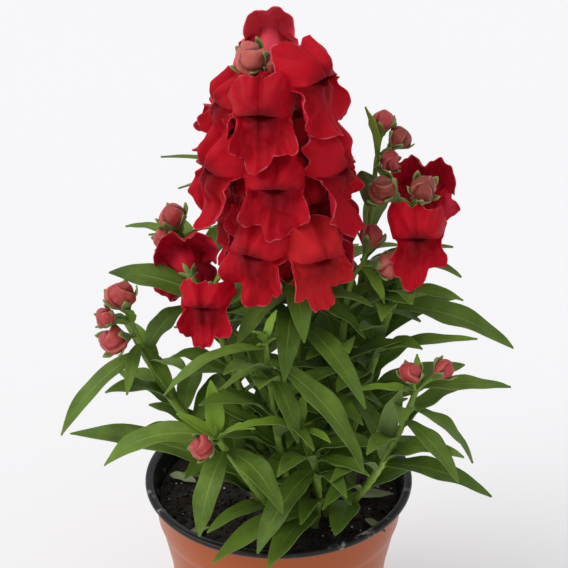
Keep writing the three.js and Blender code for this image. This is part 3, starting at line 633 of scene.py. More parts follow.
@dataclass
class Skin:
    """A mesh in the making: closed shells of rings, with the two attributes that the finishes read."""

    name: str
    points: list[Array] = field(default_factory=list)
    faces: list[Array] = field(default_factory=list)
    finishes: list[Array] = field(default_factory=list)
    forms: list[Array] = field(default_factory=list)
    tones: list[Array] = field(default_factory=list)
    count: int = 0

    def add_shell(
        self,
        rings: Array,
        form: Array,
        tone: Sequence[float] | Array,
        finish: int | Array = 0,
        ends: tuple[Array | None, Array | None] = (None, None),
    ) -> None:
        """Adds rings of points as one shell, closed round and with a fan to a pole at both ends.

        The faces point outwards where the shell's volume, the sum of p0 . (p1 x p2) / 6, is positive.
        Otherwise they are turned over.

        Args:
            rings: Points as rows, sides and coordinates.
            form: What the finish reads at each point, of the same shape.
            tone: One triple for the shell, or one for each point.
            finish: Index of the finish, or one for each band between two rings.
            ends: The two poles. A pole that isn't given is the middle of its ring.
        """
        rows, sides = rings.shape[:2]
        first = rings[0].mean(axis=0) if ends[0] is None else ends[0]
        last = rings[-1].mean(axis=0) if ends[1] is None else ends[1]
        index = self.count + np.arange(rows * sides).reshape(rows, sides)
        beside = np.roll(index, -1, axis=1)
        quads = joined(index[:-1], beside[:-1], beside[1:], index[1:]).reshape(-1, 4)
        poles = self.count + rows * sides + np.arange(2)
        fan_first = joined(poles[0], beside[0], index[0], BLANK)
        fan_last = joined(poles[1], index[-1], beside[-1], BLANK)
        faces = np.vstack([fan_first, quads, fan_last])
        points = np.vstack([rings.reshape(-1, 3), first, last])
        halves = np.vstack([faces[:, :3], quads[:, [0, 2, 3]]])
        if triple_products(points, halves - self.count).sum() < 0:
            flipped = faces[:, ::-1].copy()
            fans = faces[:, 3] < 0
            flipped[fans] = np.roll(flipped[fans], -1, axis=1)
            faces = flipped
        bands = np.broadcast_to(finish, (rows - 1,))
        per_face = np.concatenate([
            np.full(sides, bands[0]), np.repeat(bands, sides), np.full(sides, bands[-1])])
        tones = np.broadcast_to(np.asarray(tone, float), rings.shape)
        self.points.append(points)
        self.faces.append(faces)
        self.finishes.append(per_face)
        self.forms.append(np.vstack([form.reshape(-1, 3), form[0].mean(axis=0), form[-1].mean(axis=0)]))
        self.tones.append(np.vstack([tones.reshape(-1, 3), tones[0, 0], tones[-1, 0]]))
        self.count += len(points)

    def add_copies(self, points: Array, triangles: Array, tones: Array) -> None:
        """Adds many small solids that share their faces.

        Args:
            points: Points as copies, corners and coordinates.
            triangles: Corners of the faces of one copy.
            tones: What the finish reads, one triple for each point.
        """
        copies, corners = points.shape[:2]
        starts = self.count + corners * np.arange(copies)[:, None, None]
        faces = (starts + triangles[None]).reshape(-1, 3)
        flat = points.reshape(-1, 3)
        self.points.append(flat)
        self.faces.append(np.hstack([faces, np.full((len(faces), 1), BLANK)]))
        self.finishes.append(np.zeros(len(faces)))
        self.forms.append(np.zeros_like(flat))
        self.tones.append(tones)
        self.count += len(flat)

    def build(self, materials: Sequence[Material], smooth: bool = True) -> Object:
        """Makes the mesh object, in metres, at the origin.

        Args:
            materials: Finishes in the order of their indices.
            smooth: Whether the faces are shaded smooth.

        Returns:
            The new object, linked to the scene.
        """
        points = np.vstack(self.points) * MM
        faces = np.vstack(self.faces)
        is_corner = faces >= 0
        totals = is_corner.sum(axis=1)
        mesh = bpy.data.meshes.new(self.name)
        mesh.vertices.add(len(points))
        mesh.vertices.foreach_set("co", points.ravel())
        mesh.loops.add(int(totals.sum()))
        mesh.loops.foreach_set("vertex_index", faces[is_corner])
        mesh.polygons.add(len(faces))
        mesh.polygons.foreach_set("loop_start", np.concatenate([[0], np.cumsum(totals)[:-1]]))
        mesh.polygons.foreach_set("material_index", np.concatenate(self.finishes).astype(np.int32))
        mesh.polygons.foreach_set("use_smooth", np.full(len(faces), smooth))
        for name, values in (("form", self.forms), ("tone", self.tones)):
            attribute = mesh.attributes.new(name, "FLOAT_VECTOR", "POINT")
            attribute.data.foreach_set("vector", np.vstack(values).astype(np.float32).ravel())
        for material in materials:
            mesh.materials.append(material)
        mesh.update(calc_edges=True)
        mesh.validate()
        return linked(self.name, mesh)


def linked(name: str, data: bpy.types.ID) -> Object:
    """Makes a new object of the scene.

    Args:
        name: Its name.
        data: Its mesh, lamp or camera.

    Returns:
        The new object.
    """
    piece = bpy.data.objects.new(name, data)
    bpy.context.scene.collection.objects.link(piece)
    return piece


def settle(piece: Object, slot: Slot, *nodes: str) -> None:
    """Joins a finished piece to the frame and reports it.

    Args:
        piece: The finished object.
        slot: The material slot that it takes its finish from.
        nodes: The solids that it stands for, if any.
    """
    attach(piece, BODY)
    if nodes:
        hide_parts(*nodes)
    mesh = piece.data
    triangles = len(mesh.loops) - 2 * len(mesh.polygons)
    LOG.info("%s: %d triangles, slot %s", piece.name, triangles, slot.value)


def sweep(line: Array, along: Array, radius: Array, sides: int) -> Array:
    """Round section carried along a line: centre + radius * (across cos a + other sin a).

    Args:
        line: Points of the middle line.
        along: Unit directions of the line at those points.
        radius: One radius for each point.
        sides: Number of sides of the section.

    Returns:
        Rings of points, as rows, sides and coordinates.
    """
    helper = np.where(np.abs(along[:, :1]) < 0.9, [[1.0, 0.0, 0.0]], [[0.0, 1.0, 0.0]])
    across = unit(helper - along * np.sum(helper * along, axis=1, keepdims=True))
    other = np.cross(along, across)
    angle = ring_angles(sides)
    section = across[:, None] * np.cos(angle)[:, None] + other[:, None] * np.sin(angle)[:, None]
    return line[:, None] + radius[:, None, None] * section


# ---------- Leaves ----------


@dataclass(frozen=True)
class Blade:
    """One lance-shaped leaf: an arched, rolled, folded and slightly waved blade with a midrib."""

    base: Array
    turn: float
    rise: float
    length: float
    width: float
    arch: float
    roll: float
    age: float = 0.0

    rows: int = 22
    columns: int = 9
    fold: float = 0.26
    wave: float = 0.7
    petiole: float = 0.45
    last_row: float = 0.985
    half_thickness: Row = (0.42, 0.16)
    groove: float = 0.22
    ridge: float = 0.3
    vein_height: float = 0.05
    vein_gap: float = 3.2
    # Where the wave changes sign, for blades longer than a length.
    stops: tuple[tuple[float, Row], ...] = (
        (34, (0, 0.18, 0.44, 0.76, 1)), (19, (0, 0.24, 0.62, 1)), (0, (0, 0.42, 1)),
    )

    def half_width(self, share: Array | float) -> Array:
        """Half the width: W / 2 * sin(pi s^0.85)^0.8, and never less than the petiole's."""
        swell = np.maximum(np.sin(np.pi * np.asarray(share, float) ** 0.85), 0) ** 0.8
        return np.maximum(self.petiole, self.width / 2 * swell)

    def frames(self, share: Array | float) -> tuple[Array, Array, Array]:
        """Middle line of the blade, and its directions across and up from its face.

        The line is base + L s chord + 4 a L s (1 - s) lift, and the roll grows as 0.4 + 0.6 s.

        Args:
            share: Shares of the way along the blade.

        Returns:
            Middle points, directions across, and directions up.
        """
        share = np.asarray(share, float)[..., None]
        chord, lift = direction(self.turn, self.rise), direction(self.turn, self.rise + 90)
        side = direction(self.turn + 90)
        centre = self.base + self.length * (share * chord + 4 * self.arch * share * (1 - share) * lift)
        along = unit(chord + 4 * self.arch * (1 - 2 * share) * lift)
        face = np.cross(along, side)
        roll = np.radians(self.roll) * (0.4 + 0.6 * share)
        across = side * np.cos(roll) + face * np.sin(roll)
        return centre, across, np.cross(along, across)

    def samples(self) -> Array:
        """Points that stand for the blade when a new leaf looks for room.

        Returns:
            Points on the middle line and on both edges.
        """
        share = np.array([0.25, 0.4, 0.55, 0.7, 0.85, 1])
        centre, across, up = self.frames(share)
        half = np.where(share < 1, self.half_width(share), 0)[:, None]
        edges = [centre + sign * half * across + self.fold * half * up for sign in (-1, 1)]
        return np.vstack([centre, edges[0][:-1], edges[1][:-1]])

    def _wave(self, share: Array) -> Array:
        """Height of the wave of the edges: it changes sign at each of the blade's few main rows."""
        stops = next(stops for length, stops in self.stops if self.length > length)
        return self.wave * np.cos(np.pi * np.interp(share, stops, np.arange(len(stops))))

    def add_to(self, skin: Skin, draws: SeededDraws) -> None:
        """Adds the blade to a mesh.

        Across the blade, w runs from -1 to 1. The face lies fold * half * |w|^1.3 above the middle line,
        with the wave as w |w|, a groove along the midrib above, a ridge under it and shallow side veins.

        Args:
            skin: The mesh in the making.
            draws: Where the blade's small differences come from.
        """
        share = 1 - (1 - np.linspace(0, self.last_row, self.rows)) ** 1.15
        centre, across, up = (vector[:, None] for vector in self.frames(share))
        half = self.half_width(share)[:, None]
        spread = np.sin(np.linspace(-np.pi / 2, np.pi / 2, self.columns))[None]
        size = np.abs(spread)
        lilt, phase = 0.25 + 0.5 * draws(), 2 * np.pi * draws()
        along = share[:, None]
        face = self.fold * half * size**1.3 + half / 6 * self._wave(share)[:, None] * spread * size
        face = face + lilt * half / 6 * np.sin(5.5 * np.pi * along + phase + np.pi * spread) * size**2
        slant = along * self.length / self.vein_gap - size * 1.3
        veins = self.vein_height * half / 5 * np.sin(2 * np.pi * slant)
        thick = mix(*self.half_thickness, size**0.7) * np.minimum(1, 0.5 + half / 3)
        groove = self.groove * bell(spread, 0, 0.12) * np.minimum(1, half / 3)
        top = face + thick - groove + veins * (size > 0.1)
        under = face - thick - self.ridge * bell(spread, 0, 0.13)
        above = centre + half[..., None] * spread[..., None] * across + top[..., None] * up
        below = centre + half[..., None] * spread[..., None] * across + under[..., None] * up
        rings = np.concatenate([above, below[:, ::-1]], axis=1)
        form = np.concatenate([joined(spread, along, 1.0), joined(spread[:, ::-1], along, -1.0)], axis=1)
        tip = self.frames(1.0)[0]
        skin.add_shell(rings, form, (draws(), draws(), self.age), ends=(None, tip))


class Greenery:
    """Hands out the leaves that stems carry by the spiral rule, each turned until it finds room."""

    # Room round a point of a leaf, a stem, a flower and a bud, and the least share of it that flowers
    # and buds keep.
    LEAF_ROOM = 3.6
    STEM_ROOM = 4.5
    FLOWER_ROOM = 19.0
    BUD_ROOM = 8.0
    LEAST_SHARE = 0.85
    STEM_POINTS = 25
    # Distance that leaves keep from the sides of the box, radius inside the pot's rim, distance that they
    # keep above the soil within it, and the lowest height outside it.
    MARGIN = 2.0
    RIM_INSIDE = 53.0
    OVER_SOIL = 5.0
    OVER_RIM = 98.0
    # What a leaf tries until it fits: its turns, in steps of a few degrees, at each of its sizes.
    NUDGES = 18
    NUDGE = 20.0
    SCALES = (1, 0.8, 0.65)

    def __init__(self, stems: Sequence["Stem"], flowers: Sequence["Corolla"], buds: Sequence["Bud"]) -> None:
        """Notes the room that the listed leaves, stems, flowers and buds take.

        Args:
            stems: The stems, with their leaves.
            flowers: The open flowers.
            buds: The buds.
        """
        places: list[Array] = []
        rooms: list[Array] = []
        for stem in stems:
            for blade in stem.blades:
                places.append(blade.samples())
                rooms.append(np.full(len(places[-1]), self.LEAF_ROOM))
            places.append(stem.curve.at(np.arange(self.STEM_POINTS) / self.STEM_POINTS))
            rooms.append(np.full(self.STEM_POINTS, self.STEM_ROOM))
        for flower in flowers:
            seat = flower.seat
            places.append((seat.base + direction(seat.turn, seat.rise) * 16 * seat.size)[None])
            rooms.append(np.array([self.FLOWER_ROOM]))
        for bud in buds:
            places.append(np.array(bud.plan.at, float)[None])
            rooms.append(np.array([self.BUD_ROOM]))
        self._places = np.vstack(places)
        self._rooms = np.concatenate(rooms)
        self._least = np.where(self._rooms > self.STEM_ROOM, self.LEAST_SHARE, 0.0)

    def _has_room(self, blade: Blade, squeeze: float, inside: Array | None) -> bool:
        """Whether a blade stays in the box, and clear of all that is there, the soil and the pot's rim.

        Args:
            blade: The leaf to be tried.
            squeeze: Share of the usual room to leaves and stems. Flowers and buds keep most of theirs.
            inside: Lowest and highest corner of the box, if any.

        Returns:
            True where nothing is too near.
        """
        samples = blade.samples()
        if inside is not None:
            low, high = inside[0] + self.MARGIN, inside[1] - self.MARGIN
            if np.any((samples < low) | (samples > high)):
                return False
        is_over_soil = np.hypot(samples[:, 0], samples[:, 1]) < self.RIM_INSIDE
        floor = np.where(is_over_soil, SOIL_TOP + self.OVER_SOIL, self.OVER_RIM)
        if np.any(samples[:, 2] <= floor):
            return False
        apart = np.linalg.norm(samples[:, None] - self._places[None], axis=-1)
        return bool(np.all(apart > self._rooms * np.maximum(self._least, squeeze)))

    def grow(
        self,
        stem: "Stem",
        plan: FillPlan,
        draws: SeededDraws,
        squeeze: float = 1.0,
        inside: Array | None = None,
    ) -> None:
        """Adds a stem's leaves from bottom to top, a golden angle apart.

        Args:
            stem: The stem that carries them.
            plan: Heights, first turn, spacing and size.
            draws: Where their differences come from.
            squeeze: Share of the usual room that they keep.
            inside: Lowest and highest corner that they stay in, if any.
        """
        count, height = 0, plan.low
        while height <= plan.high:
            base = stem.curve.at_height(height)
            rise = 18 + 16 * draws()
            length = plan.length * (0.82 + 0.36 * draws())
            width = plan.width * (0.85 + 0.3 * draws())
            arch = 0.1 + 0.08 * draws()
            roll = 30 * (draws() - 0.5)
            first = plan.start + count * GOLDEN_ANGLE
            turns = [first + nudge * self.NUDGE for nudge in range(self.NUDGES)]
            tries = (
                Blade(base, turn, rise, length * scale, width, arch, roll)
                for scale in self.SCALES
                for turn in turns
            )
            blade = next((blade for blade in tries if self._has_room(blade, squeeze, inside)), None)
            if blade is not None:
                stem.blades.append(blade)
                samples = blade.samples()
                self._places = np.vstack([self._places, samples])
                self._rooms = np.concatenate([self._rooms, np.full(len(samples), self.LEAF_ROOM)])
                self._least = np.concatenate([self._least, np.zeros(len(samples))])
            count += 1
            height += plan.step


# ---------- Flowers and buds ----------


# What sets one flower apart: reach of each lobe, strength of the ruffles, and numbers from 0 to 1.
Character = tuple[list[float], float, Array]


@dataclass(frozen=True)
class Corolla:
    """One snapdragon flower: tube, arched palate, two-lobed upper lip and three-lobed lower lip."""

    plan: SpikeFlower | SideFlower
    seat: Seat
    seed: int
    tint: PetalTint
    is_solid: bool = True

    seat_length: float = 2.2
    seat_radius: float = 1.3
    throat_depth: float = 10.5
    throat_radius: float = 5.8
    mouth_depth: float = 14.0
    mouth_half_width: float = 8.5
    mouth_half_height: float = 0.7
    core_radius: float = 9.0
    wall: Row = (0.85, 0.3)
    # How far the outline's lobes turn from flower to flower, lean, and how square their ends are.
    lobe_shift: float = 12.0
    lean: float = 6.5
    squareness: float = 2.6
    # Upper lip: how far it juts out, bends back, and is creased and domed.
    jut: float = 5.2
    bend: float = 13.0
    crease: float = 1.5
    domes: float = 1.6
    # Lower lip: height of its palate, depth of its pleats, and how far it flares between its seams.
    palate: float = 5.4
    pleats: float = 0.55
    flare: float = 7.5
    seam: float = 2.2
    # Margin: number of its ruffles, their height below and above, and how far it rolls back.
    ruffles: int = 7
    ruffle_height: Row = (2.5, 1.8)
    roll: float = 1.7
    # Sides, rows of the front and rows of the back, for a flower in front and for one behind.
    grid: tuple[int, int, int] = (140, 36, 18)
    grid_behind: tuple[int, int, int] = (92, 22, 12)
    tube_stations: Row = (0.4, 1.2, 2.2, 4.0, 6.0, 8.2, 10.0)

    def _character(self) -> Character:
        """Draws what sets this flower apart.

        Returns:
            Reach of each lobe, strength of the ruffles, and the phases of the finer ones.
        """
        draws = SeededDraws(SEED + self.seed)
        reaches = [lobe.reach * (0.88 + 0.24 * draws()) for lobe in LOBES]
        ruffle = 0.4 if self.plan.behind else 0.8 + 0.4 * draws()
        fine = SeededDraws(SEED * 13 + self.seed)
        return reaches, ruffle, np.array([fine() for _ in range(16)])

    def tube_radius(self, x: Array | float) -> Array:
        """Radius of the tube at size 1: a short seat that widens to the throat.

        Args:
            x: Distances from the foot.

        Returns:
            One radius for each distance.
        """
        x = np.asarray(x, float)
        share = (x - self.seat_length) / (self.throat_depth - self.seat_length)
        cone = mix(self.seat_radius, self.throat_radius, share)
        return np.where(x < self.seat_length, self.seat_radius * x / self.seat_length, cone)

    def _lobes(self) -> list[Lobe]:
        """The outline's lobes, with the upper ones turned to the flower's own peak."""
        peak = LOBES[0].at if self.plan.peak is None else self.plan.peak
        return [replace(LOBES[0], at=peak), replace(LOBES[1], at=180 - peak), *LOBES[2:]]

    def _front(self, angle: Array, share: Array, character: Character) -> Array:
        """Points on the front of the lips, from the mouth (0) to the margin (1) at an angle in the face.

        The radius goes straight from the mouth's flat ellipse to the outline: a core, one lobe for each
        petal and the cheeks, each as exp(-(turn / spread)^2.6) and turned a little from flower to flower,
        with a frill and clefts that grow outwards. The hood draws the upper lip out upwards. That lip juts
        out over the mouth, has two domes and a crease between its lobes, and bends back as s^2. The lower
        lip swells below the mouth into a palate with two ridges, hangs down in shallow pleats, flares as
        s^3 and folds in at two seams. Both lips curve back to the sides as y^2. Ruffles grow as s^3, finer
        ones as s^4 and s^7, each lobe leans as s^2, the margin rolls back here and there, and two seeded
        ripples crumple the whole.

        Args:
            angle: Angles in the face, in radians, with 90 degrees up.
            share: Shares of the way from the mouth to the margin.
            character: Reaches, ruffle strength and phases of this flower.

        Returns:
            Points in the flower's own frame at size 1.
        """
        reaches, ruffle, odd = character
        degrees = np.degrees(angle)
        sine, cosine = np.sin(angle), np.cos(angle)
        upper = smoothstep(sine, -0.14, 0.03)
        mouth = 1 / np.hypot(cosine / self.mouth_half_width, sine / self.mouth_half_height)
        outline = np.full_like(angle, self.core_radius)
        lean = np.zeros_like(angle)
        for number, (lobe, reach) in enumerate(zip(self._lobes(), reaches)):
            apart = lobe.apart(degrees, self.lobe_shift * (odd[number + 1] - 0.5))
            outline = outline + reach * np.exp(-(apart**self.squareness))
            lean = lean + (odd[number] - 0.5) * self.lean * np.exp(-(apart**2))
        for cheek in CHEEKS:
            outline = outline + cheek.reach * np.exp(-(cheek.apart(degrees) ** self.squareness))
        from_top, from_bottom = np.abs(turned_apart(degrees, 90)), np.abs(turned_apart(degrees, -90))
        frill = 0.034 * np.sin(9 * angle + 6 * odd[5] + 1.7 * np.sin(3 * angle + 6 * odd[9]))
        frill = frill + 0.01 * np.sin(23 * angle + 6 * odd[6] + 2.2 * np.sin(2 * angle + 6 * odd[10]))
        clefts = 0.1 * bell(from_bottom, 20, 5) + 0.05 * bell(degrees, 90 + 14 * (odd[12] - 0.5), 5)
        outline = outline * (1 + frill * ruffle * share**5 - clefts * share**3)
        radius = mix(mouth, outline, share)
        y, z = radius * cosine, radius * sine * mix(1, self.plan.hood, upper)
        crease = self.crease * bell(turned_apart(degrees, 90 + 16 * (odd[12] - 0.5)), 0, 10) * share**1.2
        domes = self.domes * bell(from_top, 40, 24) * np.sin(np.pi * share)
        jut = self.jut * smoothstep(share, 0, 0.05)
        bend = self.bend + 4 * (odd[13] - 0.5)
        upper_depth = FACE_DEPTH + jut + 2.2 * share - bend * share**2 - crease + domes - 0.016 * y**2
        swell = smoothstep(share, 0, 0.09) * (1 - 0.85 * smoothstep(share, 0.26, 0.74))
        ridges = 0.8 * bell(np.abs(y), 4.4, 2.4) - 1.1 * bell(y, 0, 1.0)
        hanging = smoothstep(share, 0.3, 0.6) * (1 - smoothstep(np.abs(y), 9, 12))
        pleats = self.pleats * np.sin(1.35 * y + 5 * odd[7] + 0.7 * np.sin(0.3 * z)) * hanging
        palate = swell * np.exp(-((np.abs(y) / 9.6) ** 3)) * (self.palate + ridges) + pleats
        flare = self.flare * share**3 - 2.2 * smoothstep(from_bottom, 40, 80)
        lower_depth = FACE_DEPTH - 0.6 + palate + flare - 0.01 * y**2
        seams = bell(from_bottom, 20, 5.5) * smoothstep(share, 0.5, 0.95)
        lower_depth = lower_depth - self.seam * seams
        slow = self.ruffles * (angle + np.pi / 2) + 0.8 * np.sin(2 * angle + 6 * odd[14])
        wave = mix(*self.ruffle_height, upper) * ruffle * share**3 * np.cos(slow)
        twist = 12 * angle + 6 * odd[8] + 2.4 * np.sin(2 * angle + 6 * odd[9])
        small = 25 * angle + 6 * odd[10] + 2 * np.sin(3 * angle + 6 * odd[14])
        fine = ruffle * (1.1 * share**4 * np.sin(twist) + 0.35 * share**7 * np.sin(small))
        roll = self.roll * smoothstep(share, 0.86, 1) ** 1.5 * (0.5 + 0.5 * np.sin(5 * angle + 6 * odd[15]))
        depth = mix(lower_depth, upper_depth, upper) + wave + fine - roll + lean * share**2
        place = joined(depth, y, z)
        crumple = 0.85 * ripple(place, 13, 100 + self.seed) + 0.36 * ripple(place, 6, 300 + self.seed)
        place[..., 0] += crumple * smoothstep(share, 0.06, 0.4)
        return place

    def build(self, material: Material) -> None:
        """Builds the corolla as one closed shell.

        The outside of the tube runs from the foot to the throat and on along the back of the lips, which
        lies behind their front by a wall that thins towards the margin. The front then runs back to the
        closed mouth.

        Args:
            material: The petal's finish.
        """
        sides, front_rows, back_rows = self.grid_behind if self.plan.behind else self.grid
        character = self._character()
        around = ring_angles(sides) - np.pi / 2
        steps = np.linspace(0, 1, front_rows)
        front_share = 0.015 + 0.985 * mix(steps, smoothstep(steps), 0.6)
        angle, share = np.meshgrid(around, front_share)
        front = self._front(angle, share, character)
        back_share = 1 - (1 - np.linspace(0, 1, back_rows)) ** 1.2 * 0.7
        back_angle, share_back = np.meshgrid(around, back_share)
        back_front = self._front(back_angle, share_back, character)
        wall = mix(*self.wall, share_back**1.5)[..., None]
        back = back_front - self._normals(back_front) * wall
        x = np.array(self.tube_stations)
        ribs = 1 + 0.035 * np.cos(5 * around)[None] * smoothstep(x, 2, 9)[:, None]
        tube_radius = self.tube_radius(x)[:, None] * ribs
        tube = joined(x[:, None], tube_radius * np.cos(around), tube_radius * np.sin(around))
        rings = np.concatenate([tube, back, front[::-1]])
        shares = np.concatenate([np.zeros((len(x), sides)), share_back, share[::-1]])
        is_front = np.arange(len(rings))[:, None] >= len(x) + back_rows
        form = joined(np.cos(around), np.sin(around), shares)
        tone = joined(character[2][11], is_front, self.tint.value)
        skin = Skin(self.plan.name + "_petals")
        ends = (self.seat.on_axis(0), self.seat.on_axis(self.mouth_depth))
        skin.add_shell(self.seat.place(rings), form, tone, ends=ends)
        settle(skin.build([material]), Slot.PETAL, *([self.plan.name] if self.is_solid else []))

    @staticmethod
    def _normals(grid: Array) -> Array:
        """Directions out of the front: the way outwards crossed with the way round."""
        around = np.roll(grid, -1, axis=1) - np.roll(grid, 1, axis=1)
        return unit(np.cross(np.gradient(grid, axis=0), around))


@dataclass(frozen=True)
class Bud:
    """An unopened bud: three petals folded over each other into a blunt, slightly twisted body."""

    plan: BudPlan
    seat: Seat
    tint: BudTint

    length: float = 11.0
    radius: float = 4.8
    profile: tuple[Row, ...] = ((0, 0.02), (0.12, 0.38), (0.36, 0.88), (0.6, 0.99), (0.84, 0.76), (0.99, 0.2))
    wraps: int = 3
    sides: int = 84
    rows: int = 36
    lowest: float = 0.88
    lap: float = 0.19

    @classmethod
    def foot_radius(cls, x: Array | float) -> Array:
        """Radius near the foot, at size 1."""
        return cls.radius * np.minimum(1, 0.05 + np.asarray(x, float) / (0.578 * cls.length))

    def build(self, material: Material) -> None:
        """Builds the bud: a curve through the profile, wrapped in petals that overlap like a scarf.

        Round the bud, each petal rises from its lowest to where its edge lies over the next one, and the
        edges wind as they go up. The section is a little flat, its petals are a little flat too, and a fine
        crumple covers it.

        Args:
            material: The bud's finish.
        """
        seed = seed_of(self.plan.name)
        draws = SeededDraws(SEED + seed)
        profile = Curve([(x, radius, 0) for x, radius in self.profile]).at(np.linspace(0, 1, self.rows))
        along, radius = profile[:, 0], profile[:, 1]
        angle, share = np.meshgrid(ring_angles(self.sides), along)
        winding = angle + 1.5 * share + 0.35 * np.sin(4 * share + 6 * draws()) + 6 * draws()
        petal = np.mod(winding * self.wraps / (2 * np.pi), 1)
        lap = smoothstep(petal, 0, 0.8) - smoothstep(petal, 0.93, 1)
        flat = 0.07 * np.cos(2 * (angle + 6 * draws())) + 0.05 * np.cos(angle + 6 * draws()) * share
        flat = flat - 0.035 * np.cos(2 * self.wraps * winding)
        rim = 0.1 * smoothstep(share, 0.78, 0.9) * np.cos(winding * self.wraps)
        shaped = radius[:, None] * (self.lowest + self.lap * lap + flat + rim) * self.radius
        grid = joined(share * self.length, shaped * np.cos(angle), shaped * np.sin(angle))
        grid[..., 1:] *= 1 + 0.035 * ripple(grid, 3.4, seed)[..., None]
        form = joined(petal, lap, share)
        skin = Skin(self.plan.name + "_petals")
        ends = (self.seat.on_axis(0), self.seat.on_axis(self.length * 0.985))
        skin.add_shell(self.seat.place(grid), form, (draws(), draws(), self.tint.value), ends=ends)
        settle(skin.build([material]), Slot.BUD, self.plan.name)


@dataclass(frozen=True)
class Calyx:
    """A stalk from the stem and the green cup of five pointed sepals that it ends in."""

    seat: Seat
    start: Array
    foot: Callable[[Array], Array]
    seed: int

    clearance: float = 0.45
    wall: Row = (0.5, 0.25)
    # How far the cup reaches back over the stalk, and the stalk's radius at its start and end.
    overlap: float = 0.7
    stalk_radius: Row = (1.05, 0.8)
    notch: float = 2.4
    tip: float = 6.4
    bud_tip: float = 8.2
    flare: float = 0.9
    bud_flare: float = 2.2
    sides: int = 75
    cup_rows: int = 9
    stalk_rows: int = 18
    stalk_sides: int = 16

    def add_to(self, skin: Skin) -> None:
        """Adds the stalk and the cup as two shells.

        The stalk follows a cubic from the stem to the foot, and swells into the cup. The cup's rim lies at
        notch + (tip - notch) * lobe, where five pointed lobes follow each other, and the tips turn out, those
        round a bud more than those round a flower.

        Args:
            skin: The mesh in the making. Its second finish is the sepals'.
        """
        draws = SeededDraws(SEED * 3 + self.seed)
        size = self.seat.size
        out = direction(self.seat.turn, self.seat.rise)
        end = self.seat.base + out * 0.3 * size
        reach = np.linalg.norm(end - self.start)
        middle = mix(self.start, end, 0.5) + 0.12 * reach * UP * draws() - out * 0.05 * reach
        bend = Curve([self.start, middle, end])
        share = np.linspace(0, 1, self.stalk_rows)
        radius = mix(*self.stalk_radius, share) + 0.9 * size * share**7
        rings = sweep(bend.at(share), bend.along(share), radius, self.stalk_sides)
        form = np.broadcast_to(share[:, None, None], rings.shape)
        skin.add_shell(rings, form, (draws(), draws(), 0.0), finish=0)
        around = ring_angles(self.sides)
        turned = 2.5 * (around + 6 * draws())
        pointed = np.abs(2 * np.mod(turned / np.pi, 1) - 1) ** 1.2
        lobe = mix(pointed, np.abs(np.cos(turned)) ** 1.5, 0.3)
        is_bud = self.foot == Bud.foot_radius
        tip, widest = (self.bud_tip, self.bud_flare) if is_bud else (self.tip, self.flare)
        rim = self.notch + (tip - self.notch) * lobe * (0.85 + 0.3 * np.abs(np.sin(around + 6 * draws())))
        part = np.linspace(0, 1, self.cup_rows)[:, None]
        x = (rim + self.overlap) * part - self.overlap
        flare = widest * lobe * np.maximum(part - 0.5, 0) ** 1.5 * (0.4 + draws())
        rounding = np.sqrt(np.minimum(1, 0.12 + part * 3))
        inner = np.maximum(self.foot(np.maximum(x, 1.2)) + self.clearance + flare, 0.4) * rounding
        keel = 1 + 0.06 * lobe
        outer = (inner + mix(*self.wall, part)) * keel
        wall_out = joined(x - 0.3 * (1 - part), outer * np.cos(around), outer * np.sin(around))
        wall_in = joined(x, inner * np.cos(around), inner * np.sin(around))
        cup = np.concatenate([wall_out, wall_in[::-1]])
        form = np.concatenate([joined(lobe, part, 1.0), joined(lobe, part[::-1], 0.0)])
        ends = (self.seat.on_axis(-1.0), self.seat.on_axis(-0.6))
        skin.add_shell(self.seat.place(cup), form, (draws(), draws(), 1.0), finish=1, ends=ends)


